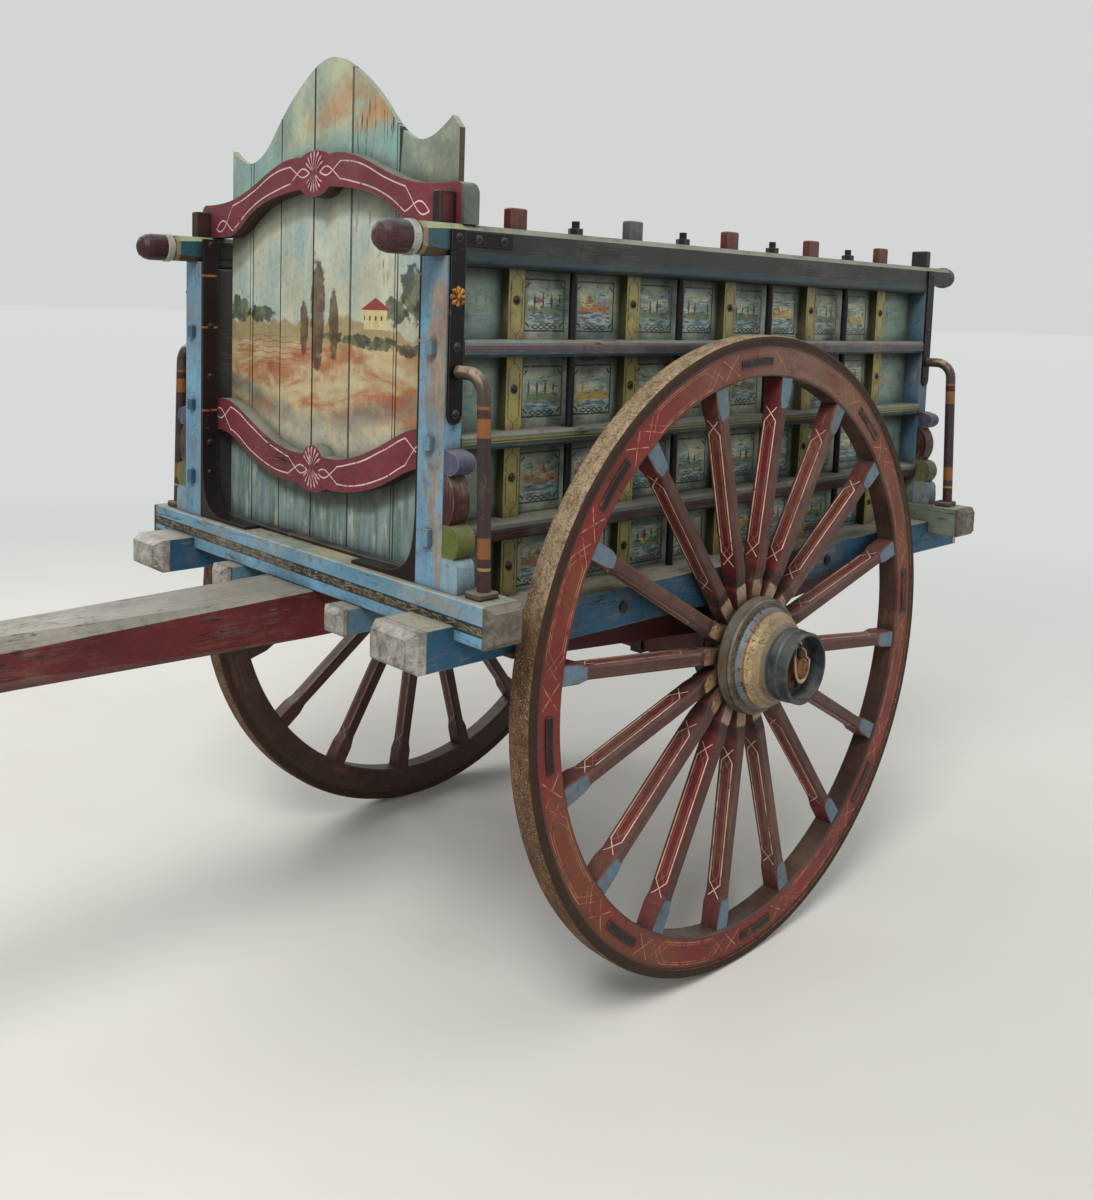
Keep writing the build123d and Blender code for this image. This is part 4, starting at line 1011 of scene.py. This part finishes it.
headboardSet = {
    "seams": (0.0040, 0.0030, 0.0046, 0.0036, 0.0040),  # widths of the open joints, in metres
    "shadedWedge": (0.86, 1.00, 0.002, 0.016),  # painted shade of the plank's side face: a dark wedge at the last joint, between these heights, by these widths
    "crest": ((132, 152, 140), (186, 190, 160)), "bareCrest": ((112, 118, 104), (160, 164, 146)),
    "skirt": ((108, 132, 118), (146, 164, 160)), "sky": ((164, 186, 184), (204, 206, 184)),
    "hills": ((150, 146, 112), (190, 160, 112)), "soil": ((204, 186, 146), (178, 124, 82)),
    "pale": ((176, 184, 168), (216, 212, 184)), "bushes": ((48, 56, 50), (104, 112, 74)),
    "poplar": ((88, 60, 52), (112, 96, 62)), "back": ((92, 98, 86), (120, 120, 104)),
    "edges": ((72, 54, 40), (134, 142, 126)), "wood": (112, 106, 88),
    "ochre": [((0.13, 1.03), (0.13, 0.09)), ((-0.03, 0.99), (0.08, 0.08)), ((0.22, 0.97), (0.07, 0.10))],
    "teal": [((-0.32, 0.88), (0.14, 0.10)), ((0.12, 0.93), (0.30, 0.05)), ((0.30, 0.93), (0.12, 0.08))],
    "clumps": [  # trees and bushes: middle, size
        ((0.335, 0.600), (0.050, 0.060)), ((0.405, 0.585), (0.060, 0.050)),
        ((0.265, 0.565), (0.045, 0.030)), ((-0.300, 0.545), (0.060, 0.022)),
        ((-0.400, 0.556), (0.060, 0.035)), ((0.120, 0.492), (0.060, 0.014)),
        ((0.215, 0.486), (0.050, 0.016)), ((0.020, 0.498), (0.045, 0.012)),
        ((0.330, 0.478), (0.060, 0.014)),
    ],
    "poplars": [
        ((-0.040, 0.560), (0.030, 0.140)), ((0.028, 0.525), (0.020, 0.086)),
        ((-0.098, 0.515), (0.018, 0.070)),
    ],
}


def headboardFinish():
    f = Finish("headboard picture")
    look, place = headboardSet, f.place
    u, away, up = f.y, abs(f.y), f.z - deckTop
    planks = sorted(middle(box).y for box in pieceBoxes("headboard_planks"))
    joints = [(a + b) / 2 for a, b in zip(planks, planks[1:])]
    number = 0.0
    for joint in joints:
        number = number + (u > joint)
    luck = f.chance(number + 3.3)
    cloud = f.noise(place, 5.0, 5.0, 0.6, by=(1, 1, 0.35))
    streaks = f.noise(place, 7.0, 4.0, 0.6, by=(1, 9, 0.8))

    # crest: pale green with ochre stains
    crest = f.mix(f.noise(place, 6.0, 5.0, by=(1, 1.4, 0.7)).step(0.32, 0.68), *look["crest"])
    patchy = f.noise(place, 9.0, 5.0, 0.65).step(0.40, 0.64)
    for spot, size in look["ochre"]:
        crest = f.mix(f.haze(u, up, spot, size) * patchy * 0.8, crest, (186, 138, 92))
    for spot, size in look["teal"]:
        crest = f.mix(f.haze(u, up, spot, size) * 0.65, crest, (130, 172, 168))
    crest = f.mix((u > joints[-1]) * 0.8, crest, f.mix(patchy, *look["bareCrest"]))

    # skirt: vertical streaks of green, blue and white under a dark green arc of shade
    skirt = f.mix(streaks.step(0.36, 0.62), *look["skirt"])
    white = f.noise(place, 6.0, 4.0, by=(1, 5, 1.2)).step(0.54, 0.66)
    skirt = f.mix(white * 0.8, skirt, (196, 198, 186))
    blue = f.noise(place, 5.0, 4.0, by=(1, 4, 1), at=(2, 7, 1)).step(0.54, 0.64)
    skirt = f.mix(blue * 0.6, skirt, (104, 134, 152))
    lowerEdge = up - curveThrough(f, away, "lowerLow")
    arc = (lowerEdge + (cloud - 0.5) * 0.03).step(-0.062, -0.036)
    skirt = f.mix(arc * 0.75, skirt, (72, 78, 58))

    # landscape between the arches
    sky = f.mix(f.noise(place, 6.0, 4.0, by=(1, 2.5, 0.8)).step(0.3, 0.7), *look["sky"])
    sky = f.mix(f.noise(place, 4.0, 4.0).step(0.48, 0.66) * 0.5, sky, (194, 182, 146))
    hills = 0.530 + (f.lineNoise(u + 4.2, 5.0, 3.0) - 0.5) * 0.16
    picture = f.mix((up - hills).step(0.004, -0.004), sky, f.mix(cloud, *look["hills"]))
    fields = 0.480 + (f.lineNoise(u - 1.7, 3.4, 2.0) - 0.5) * 0.10
    soil = f.mix(f.noise(place, 4.0, 4.0, 0.6, 0.8, by=(1, 1.6, 4)).step(0.40, 0.62), *look["soil"])
    picture = f.mix((up - fields).step(0.005, -0.005), picture, soil)
    sweep = 0.400 + f.calc("SINE", u * 7.5 + 2.2) * 0.050
    furrow = (up - sweep + (cloud - 0.5) * 0.05).line(0.030, 0.016)
    picture = f.mix(furrow * cloud.step(0.34, 0.60), picture, (178, 88, 54))
    second = 0.330 + f.calc("SINE", u * 6.0 + 5.0) * 0.040
    dim = (up - second + (cloud - 0.5) * 0.06).line(0.036, 0.02)
    picture = f.mix(dim * cloud.step(0.62, 0.40) * 0.7, picture, (104, 114, 112))
    pale = (up + (cloud - 0.5) * 0.10).step(0.33, 0.25)
    picture = f.mix(pale * 0.75, picture, f.mix(patchy, *look["pale"]))
    plough = f.wrap(up + f.calc("SINE", u * 90.0) * 0.002, 0.014, 0.0).line(0.0030)
    plough = plough * f.blob(u, up, (-0.24, 0.455), (0.17, 0.038), cloud, 1.0)
    picture = f.mix(plough * 0.65, picture, (74, 56, 44))

    leafy = f.noise(place, 34.0, 5.0, 0.7)
    bushes = f.mix(leafy.step(0.42, 0.6), *look["bushes"])
    for spot, size in look["clumps"]:
        picture = f.mix(f.blob(u, up, spot, size, leafy, 2.2) * 0.85, picture, bushes)
    for spot, size in look["poplars"]:  # a row of tall brown poplars
        tree = f.blob(u, up, spot, size, leafy, 1.1)
        picture = f.mix(tree * 0.9, picture, f.mix(leafy.step(0.45, 0.6), *look["poplar"]))
    wall = f.patch(u, up, (0.150, 0.520), (0.236, 0.566))
    picture = f.mix(wall, picture, (214, 196, 142))
    windows = f.wrap(u + 0.004, 0.011, -0.011).line(0.006) * (up - 0.545).line(0.010)
    picture = f.mix(windows * wall, picture, (86, 74, 60))
    roof = (abs(u - 0.193) * 0.5 + (up - 0.592)).step(0.001, -0.001)
    roof = roof * f.patch(u, up, (0.140, 0.564), (0.246, 0.60))
    picture = f.mix(roof, picture, (150, 66, 58))
    upperEdge = f.z - railTop - curveThrough(f, away, "upperLow")
    arc = (upperEdge + (cloud - 0.5) * 0.02).step(-0.075, -0.050)
    picture = f.mix(arc * 0.6, picture, (122, 120, 96))

    lowerMid = up - curveThrough(f, away, "lowerTop")
    paint = f.mix(lowerMid.step(-0.034, -0.030), skirt, picture)
    paint = f.shade(f.mix(upperEdge.step(0.02, 0.024), paint, crest), 0.73)
    paint = f.mix(f.nx.step(0.4, 0.8), f.mix(f.nz.step(0.25, 0.5), *look["edges"]), paint)
    paint = f.mix(f.nx.step(-0.4, -0.8), paint, f.mix(streaks, *look["back"]))
    dirt = f.noise(place, 14.0, 5.0, 0.7, by=(1, 12, 0.7)).step(0.54, 0.74)
    paint = f.mix(dirt * 0.22, paint, (70, 64, 52))
    out = f.painted(paint, look["wood"], 0.12, 0.32, "z", 0.4, 0.003, luck, 0.45)

    wobble = (f.noise(place, 8.0, by=(1, 1, 0.3)) - 0.5) * 0.002
    jointsAndShade = f.most(*((u - at + wobble).line(width, 0.0004) for at, width in zip(joints, look["seams"])))
    # painted shade: a dark wedge along the last joint where the plank's side face lies in shade; the other
    # joints are open gaps
    shadedWedge = up.fit(*look["shadedWedge"])
    shadedWedge = (u - joints[-1]).step(shadedWedge, shadedWedge - 0.001) * (u > joints[-1])
    jointsAndShade = f.most(jointsAndShade, shadedWedge * (up > look["shadedWedge"][0]))
    surface = f.mix(jointsAndShade * 0.93, f.dusted(out["Color"], 0.2), (20, 18, 15))
    return f.finish(surface, out["Roughness"], out["Height"] - jointsAndShade * 1.5, 0.3)


kneeSet = {  # bars' heights above the beam
    "iron": (42, 34, 34), "bar": (176, 106, 56), "bars": (0.285, 0.505, 0.640),
}


def kneeFinish():
    f = Finish("knee iron")
    out = f.iron(kneeSet["iron"], 0.32)
    bars = f.most(*((f.z - deckTop - height).line(0.005) for height in kneeSet["bars"]))
    surface = f.mix(bars * f.noise(f.place, 60.0).step(0.3, 0.5), out["Color"], kneeSet["bar"])
    return f.ironDone(out, surface)


stanchionSet = {
    "neck": ((70, 58, 52), (156, 136, 108)), "patches": (74, 66, 60),
    "bands": [  # from the foot up: height where each colour starts
        (0.0, (54, 36, 35)), (0.058, (132, 118, 60)), (0.064, (58, 38, 36)), (0.082, (118, 74, 42)),
        (0.123, (52, 42, 41)), (0.321, (124, 78, 44)), (0.359, (58, 36, 34)), (0.377, (128, 82, 44)),
        (0.383, (66, 54, 49)),
    ],
}


def stanchionFinish():
    f = Finish("stanchion paint")
    up = f.z - deckTop
    paint = f.bands(up, stanchionSet["bands"], 0.001)
    neck = abs(f.y).step(0.632, 0.600) * up.step(0.38, 0.40) * f.nz.step(-0.1, 0.5)
    paint = f.mix(neck, paint, f.mix(f.noise(f.place, 30.0).step(0.42, 0.55), *stanchionSet["neck"]))
    patches = f.noise(f.place, 34.0, 6.0, 0.7).step(0.50, 0.66)
    out = f.iron(f.mix(patches * 0.6, paint, stanchionSet["patches"]), 0.36, None)
    return f.ironDone(out, f.dusted(out["Color"], 0.3), 0.1)


def strapFinish():
    f = Finish("strap iron")
    out = f.iron((19, 16, 17), 0.26)
    scratch = f.noise(f.place, 60.0, 4.0, 0.7, by=(3, 1, 1)) > 0.68
    return f.ironDone(out, f.mix(scratch * 0.45, out["Color"], (140, 134, 126)))


bareWood, darkIron, redWood = (132, 116, 96), (40, 34, 32), (70, 50, 42)
wheelFinishes = {
    "spokes": spokeFinish(), "felloes": felloeFinish(), "tyre": tyreFinish(), "hub": hubFinish(),
    "hub_bands": bandFinish(), "cramps": ironFinish("cramp iron", darkIron, 0.45),
}
finishes = {}
for part, material in wheelFinishes.items():
    for side in ("left", "right"):
        finishes["wheel_" + part + "_" + side] = material
print("wheel finishes made")
iron = ironFinish("dark iron", darkIron, 0.42)
plainIrons = ("axle_clips", "linchpins", "sill_bolts", "foot_strip", "pole_bands")
for name in plainIrons + ("prop_bracket", "prop_pin", "prop_shoe"):
    finishes[name] = iron
finishes.update({
    "axle": axleFinish(), "axle_bed": paintedTimber("maroon timber", (76, 24, 26), redWood, "y"),
    "tie_rods": ironFinish("rod iron", (34, 32, 34), 0.2, 0.15), "knee_irons": kneeFinish(),
    "post_straps": strapFinish(), "stanchions": stanchionFinish(),
    "bolsters": paintedTimber("bolster paint", (70, 26, 28), redWood, "x"),
    "floor_boards": plainTimber("bare timber", bareWood, "x"),
    "prop_leg": plainTimber("prop timber", bareWood, "z"),
    "stanchion_plates": plainTimber("plate timber", (88, 76, 64), "x"),
    "beam_caps": capFinish("beam cap paint", (78, 74, 68), (112, 106, 94)),
    "sill_caps": capFinish("sill cap paint", (128, 128, 122), (166, 162, 152)),
    "front_beam": beamFinish("front beam paint", (92, 134, 156), True),
    "rear_beam": beamFinish("rear beam paint", (96, 104, 90), False),
    "sills": sillFinish("sill paint", (30, 70, 94), 1.3),
    "stringers": sillFinish("stringer paint", (78, 112, 128), 1.2),
    "under_rails": sillFinish("under rail paint", (26, 42, 48), 1.3, (74, 82, 78), (62, 66, 58)),
    "top_rails": topRailFinish(), "mid_rails": midRailFinish(), "side_boards": panelFinish(),
    "stakes": stakeFinish(), "posts": postFinish(), "post_heads": headFinish(), "rail_knobs": knobFinish(),
    "pole": poleFinish(), "headboard_planks": headboardFinish(),
    "upper_arch": archFinish("upper arch paint", "upperTop", "upperLow", railTop, 0.374, 0.405),
    "lower_arch": archFinish("lower arch paint", "lowerTop", "lowerLow", deckTop, 0.388, 0.415),
})
for name, node in nodes.items():
    node.data.materials.clear()
    node.data.materials.append(finishes[name])
print("finishes on", len(nodes), "CAD pieces")


# Small pieces that the frame leaves to the dressing
def clearSelection():
    if bpy.context.object and bpy.context.object.mode != "OBJECT":
        bpy.ops.object.mode_set(mode="OBJECT")
    bpy.ops.object.select_all(action="DESELECT")


def editAll():
    bpy.ops.object.mode_set(mode="EDIT")
    bpy.ops.mesh.select_all(action="SELECT")


def editFaces(piece, wanted):  # opens edit mode with only the wanted faces selected
    bpy.ops.object.mode_set(mode="EDIT")
    bpy.ops.mesh.select_mode(type="FACE")
    bpy.ops.mesh.select_all(action="DESELECT")
    bpy.ops.object.mode_set(mode="OBJECT")
    for face in piece.data.polygons:
        face.select = wanted(face)
    bpy.ops.object.mode_set(mode="EDIT")


def grow(push, scale):  # extrudes the selection along Y and draws it in about the middle
    bpy.ops.mesh.extrude_region_move(TRANSFORM_OT_translate={"value": (0, push, 0)})
    bpy.ops.transform.resize(value=(scale, 1, scale), center_override=(0, 0, 0))


def smoothed(degrees):  # shades softly where faces meet below the angle
    bpy.ops.object.mode_set(mode="OBJECT")
    bpy.ops.object.shade_smooth_by_angle(angle=math.radians(degrees))
    return bpy.context.object


def bothSides(x, y, z, inward=False):  # the same spot left and right, facing out or in
    return [((x, way * y, z), (0, 0, 0 if (way > 0) != inward else math.pi), one) for way in (1, -1)]


def scattered(model, spots, name, material):  # copies of a model, joined into one piece of the frame
    clearSelection()
    for place, turn, scale in spots:
        twin = model.copy()
        twin.data = model.data.copy()
        bpy.context.scene.collection.objects.link(twin)
        twin.location, twin.rotation_euler, twin.scale = place, turn, scale
        twin.select_set(True)
        bpy.context.view_layer.objects.active = twin
    bpy.ops.object.join()
    bpy.ops.object.transform_apply(location=True, rotation=True, scale=True)
    piece = bpy.context.object
    piece.name = piece.data.name = name
    piece.data.materials.clear()
    piece.data.materials.append(material)
    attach(piece, "frame")
    bpy.data.objects.remove(model)


def rivetModel(radius, sides=12):  # a hammered rivet head on its washer, facing +Y
    clearSelection()
    upright = (math.pi / 2, 0, 0)
    bpy.ops.mesh.primitive_cylinder_add(vertices=sides, radius=radius, depth=0.002, rotation=upright)
    bpy.ops.object.transform_apply(rotation=True)
    editFaces(bpy.context.object, lambda face: face.normal.y > 0.9)
    for push, scale in ((0.0, 0.74), (0.0022, 0.90), (0.0018, 0.70), (0.0010, 0.45)):
        grow(push, scale)
    return smoothed(40)


def petalModel(long, wide, thick):  # half-round rib on its back, from a narrow foot up +Z, facing +X
    clearSelection()
    bpy.ops.mesh.primitive_uv_sphere_add(segments=12, ring_count=10, radius=1, location=(0, 0, long * 0.56))
    petal = bpy.context.object
    petal.scale = (thick, wide / 2, long * 0.44)
    bpy.ops.object.transform_apply(location=True, rotation=True, scale=True)
    editAll()
    bpy.ops.mesh.bisect(plane_co=(0, 0, 0), plane_no=(1, 0, 0), use_fill=True, clear_inner=True)
    for level in (0.75, 0.5, 0.3):  # narrows towards the foot
        editFaces(petal, lambda face: face.center.z < long * level)
        bpy.ops.transform.resize(value=(0.9, 0.68, 1), center_override=(0, 0, 0))
    return smoothed(50)


shellSet = {
    "ribs": 7, "spread": math.radians(108), "long": 0.055, "wide": 0.0115, "thick": 0.0045,
    "upper": 0.136, "upperSizes": (0.96, 0.86),  # height on the arch, and sizes of the shells up and down
    "lower": 0.184, "lowerSizes": (0.96, 0.96),
    "paint": ((112, 46, 56), (176, 128, 134)), "worn": (206, 172, 170), "wood": (120, 88, 80),
}


def shellFinish():
    f = Finish("shell paint")
    paint = f.mix(f.nx.step(0.55, 0.95), *shellSet["paint"])
    paint = f.mix(f.noise(f.place, 60.0).step(0.5, 0.7), paint, shellSet["worn"])
    out = f.painted(paint, shellSet["wood"], 0.2, 0.3, "z", 0.2, 0.002)
    return f.finish(out["Color"], out["Roughness"], out["Height"])


def makeShells(material):  # scallops cut on the arches, one opening up and one down
    half = shellSet["spread"] / 2
    spots = []
    for node, level, sizes in (
        ("upper_arch", railTop + shellSet["upper"], shellSet["upperSizes"]),
        ("lower_arch", deckTop + shellSet["lower"], shellSet["lowerSizes"]),
    ):
        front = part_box(node)[1].x - 0.0006
        for way, size in zip((0.0, math.pi), sizes):
            for k in range(shellSet["ribs"]):
                lean = (k / (shellSet["ribs"] - 1) - 0.5) * shellSet["spread"]
                long = size * (1 - 0.16 * (abs(lean) / half) ** 2)
                spots.append(((front, 0, level), (way + lean, 0, 0), (1, size, long)))
    rib = petalModel(shellSet["long"], shellSet["wide"], shellSet["thick"])
    scattered(rib, spots, "arch_shells", material)


rosetteSet = {
    "petals": 8, "petal": (0.0215, 0.0165, 0.0065), "button": 0.0075, "below": 0.145, "back": 0.023,
    "gilt": ((104, 62, 28), (176, 122, 56)),
}


def giltFinish():
    f = Finish("gilt paint")
    paint = f.mix(f.noise(f.place, 90.0, 5.0).step(0.36, 0.62), *rosetteSet["gilt"])
    out = f.iron(paint, 0.42, None)
    return f.ironDone(out, out["Color"], 0.25)


def makeRosettes(material):  # gilt flowers on the front post straps
    x, y, z = frontPost[0].x + rosetteSet["back"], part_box("post_straps")[1].y, railTop - rosetteSet["below"]
    pitch = 2 * math.pi / rosetteSet["petals"]
    petals = [
        ((x, way * (y - 0.0004), z), (k * pitch, 0, way * math.pi / 2), one)
        for way in (1, -1) for k in range(rosetteSet["petals"])
    ]
    scattered(petalModel(*rosetteSet["petal"]), petals, "rosette_petals", material)
    buttons = bothSides(x, y + 0.0036, z)
    scattered(rivetModel(rosetteSet["button"]), buttons, "rosette_buttons", material)


rivetSet = {  # heights above the beams or under the rails
    "rivet": 0.0095, "bolt": 0.0105,
    "knee": (0.721, 0.508, 0.375, 0.200, 0.120),
    "strapFront": (-0.028, -0.245, -0.380),
    "strapRear": (-0.028, -0.200, -0.345),
    "railStrap": (0.030, 0.100),  # behind the front post
}


def makeRivets(material):
    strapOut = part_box("post_straps")[1].y
    spots, bolts = [], []
    for up in rivetSet["knee"]:
        spots += bothSides(middle(frontPost).x, frontPost[0].y - 0.007, deckTop + up, inward=True)
    for post, key in ((frontPost, "strapFront"), (rearPost, "strapRear")):
        for up in rivetSet[key]:
            spots += bothSides(post[0].x + 0.023, strapOut, railTop + up)
    for back in rivetSet["railStrap"]:
        spots += bothSides(frontPost[0].x - back, strapOut - 0.002, railTop - 0.029)
    for x in stakeXs:
        for row, z in enumerate(rowMiddles):
            bolts += bothSides(x, stakeBoxes[0][1].y, z + (0.009 if row else 0.0))
    scattered(rivetModel(rivetSet["rivet"]), spots, "strap_rivets", material)
    scattered(rivetModel(rivetSet["bolt"], 10), bolts, "stake_bolts", material)


pinRingSet = {"wide": 0.030, "wire": 0.0034, "long": 1.65, "out": 0.011, "drop": 0.008}


def makePinRings(material):  # a wire ring through each linchpin's eye, hanging round the axle's end
    pins = leftBoxes("linchpins", lowFirst)
    y = max(middle(pin).y for pin in pins) + pinRingSet["out"]
    clearSelection()
    bpy.ops.mesh.primitive_torus_add(
        major_radius=pinRingSet["wide"], minor_radius=pinRingSet["wire"], major_segments=36, minor_segments=8,
        rotation=(math.pi / 2, 0, 0),
    )
    bpy.ops.object.transform_apply(rotation=True)
    editAll()
    bpy.ops.transform.resize(value=(1, 1, pinRingSet["long"]), center_override=(0, 0, 0))
    tall = pinRingSet["wide"] * pinRingSet["long"]
    for level, pull in ((0.2, 0.80), (0.6, 0.72)):  # drawn in towards the eye, and leaning back to it
        editFaces(bpy.context.object, lambda face: face.center.z > tall * level)
        bpy.ops.transform.resize(value=(pull, 1, 1), center_override=(0, 0, 0))
        bpy.ops.transform.translate(value=(0.002, -pinRingSet["out"] * 0.45, 0))
    high = max(pin[1].z for pin in pins) - tall - pinRingSet["drop"]
    scattered(smoothed(60), bothSides(axleX, y, high), "linchpin_rings", material)


beadSet = {"deep": 0.010, "high": 0.018, "round": 0.005}


def makeBeads(material):  # a bead inside along the boards' top, which closes the joint under the rails
    inner = min(box[0].y for box in leftBoxes("side_boards", lowFirst))
    back, front = boardLow.x + 0.02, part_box("headboard_planks")[0].x - 0.004
    clearSelection()
    bpy.ops.mesh.primitive_cube_add(size=1)
    bead = bpy.context.object
    bead.scale = (front - back, beadSet["deep"], beadSet["high"])
    bpy.ops.object.transform_apply(scale=True)
    editAll()
    bpy.ops.mesh.subdivide(number_cuts=1)
    editFaces(bead, lambda face: face.normal.y < -0.9)  # rounded on the side towards the load
    bpy.ops.mesh.bevel(offset=beadSet["round"], segments=3, affect="EDGES")
    y, z = inner - beadSet["deep"] / 2, boardHigh.z + 0.003 - beadSet["high"] / 2
    scattered(smoothed(40), bothSides((front + back) / 2, y, z), "board_beads", material)


makeShells(shellFinish())
makeRosettes(giltFinish())
makeRivets(iron)
makeBeads(paintedTimber("bead paint", (58, 66, 60), (92, 84, 68), "x"))
makePinRings(ironFinish("ring wire", (158, 144, 112), 0.3))
print("shells, rosettes, rivets, beads and pin rings made")

worldSet = {"tint": (226, 229, 228), "light": 0.72, "backdrop": 0.86}
floorSet = {  # metres: beyond "near" the floor fades into the backdrop
    "size": 400, "near": 2.4, "far": 8.0, "tints": ((206, 202, 196), (218, 216, 210)),
}


def makeFloor():
    bpy.ops.object.select_all(action="DESELECT")
    bpy.ops.mesh.primitive_plane_add(size=floorSet["size"], location=(0, 0, 0))
    floor = bpy.context.object
    floor.name = "floor"
    f = Finish("pale floor")
    paint = f.mix(f.noise(f.place, 0.9, 4.0), *floorSet["tints"])
    far = f.reach(f.x, f.y).step(floorSet["near"], floorSet["far"])
    seen = f.wire("ShaderNodeLightPath", "Is Camera Ray")
    f.plug(f.shader.inputs["Emission Color"], f.mix(far, black, worldSet["tint"]))
    f.plug(f.shader.inputs["Emission Strength"], seen * worldSet["backdrop"])
    floor.data.materials.append(f.finish(f.mix(far * seen, paint, black), 0.9, f.noise(f.place, 8.0), 0.1))


def makeWorld():  # an even pale room; the camera sees it a little brighter
    world = bpy.data.worlds.new("pale room")
    bpy.context.scene.world = world
    world.use_nodes = True
    p = Palette(world.node_tree)
    shader = world.node_tree.nodes["Background"]
    seen = p.wire("ShaderNodeLightPath", "Is Camera Ray")
    p.plug(shader.inputs["Color"], worldSet["tint"])
    p.plug(shader.inputs["Strength"], seen.fit(0.0, 1.0, worldSet["light"], worldSet["backdrop"]))


makeCamera()
makeLamps()
makeFloor()
makeWorld()
bpy.context.scene.view_settings.view_transform = "Standard"
print("stage set")
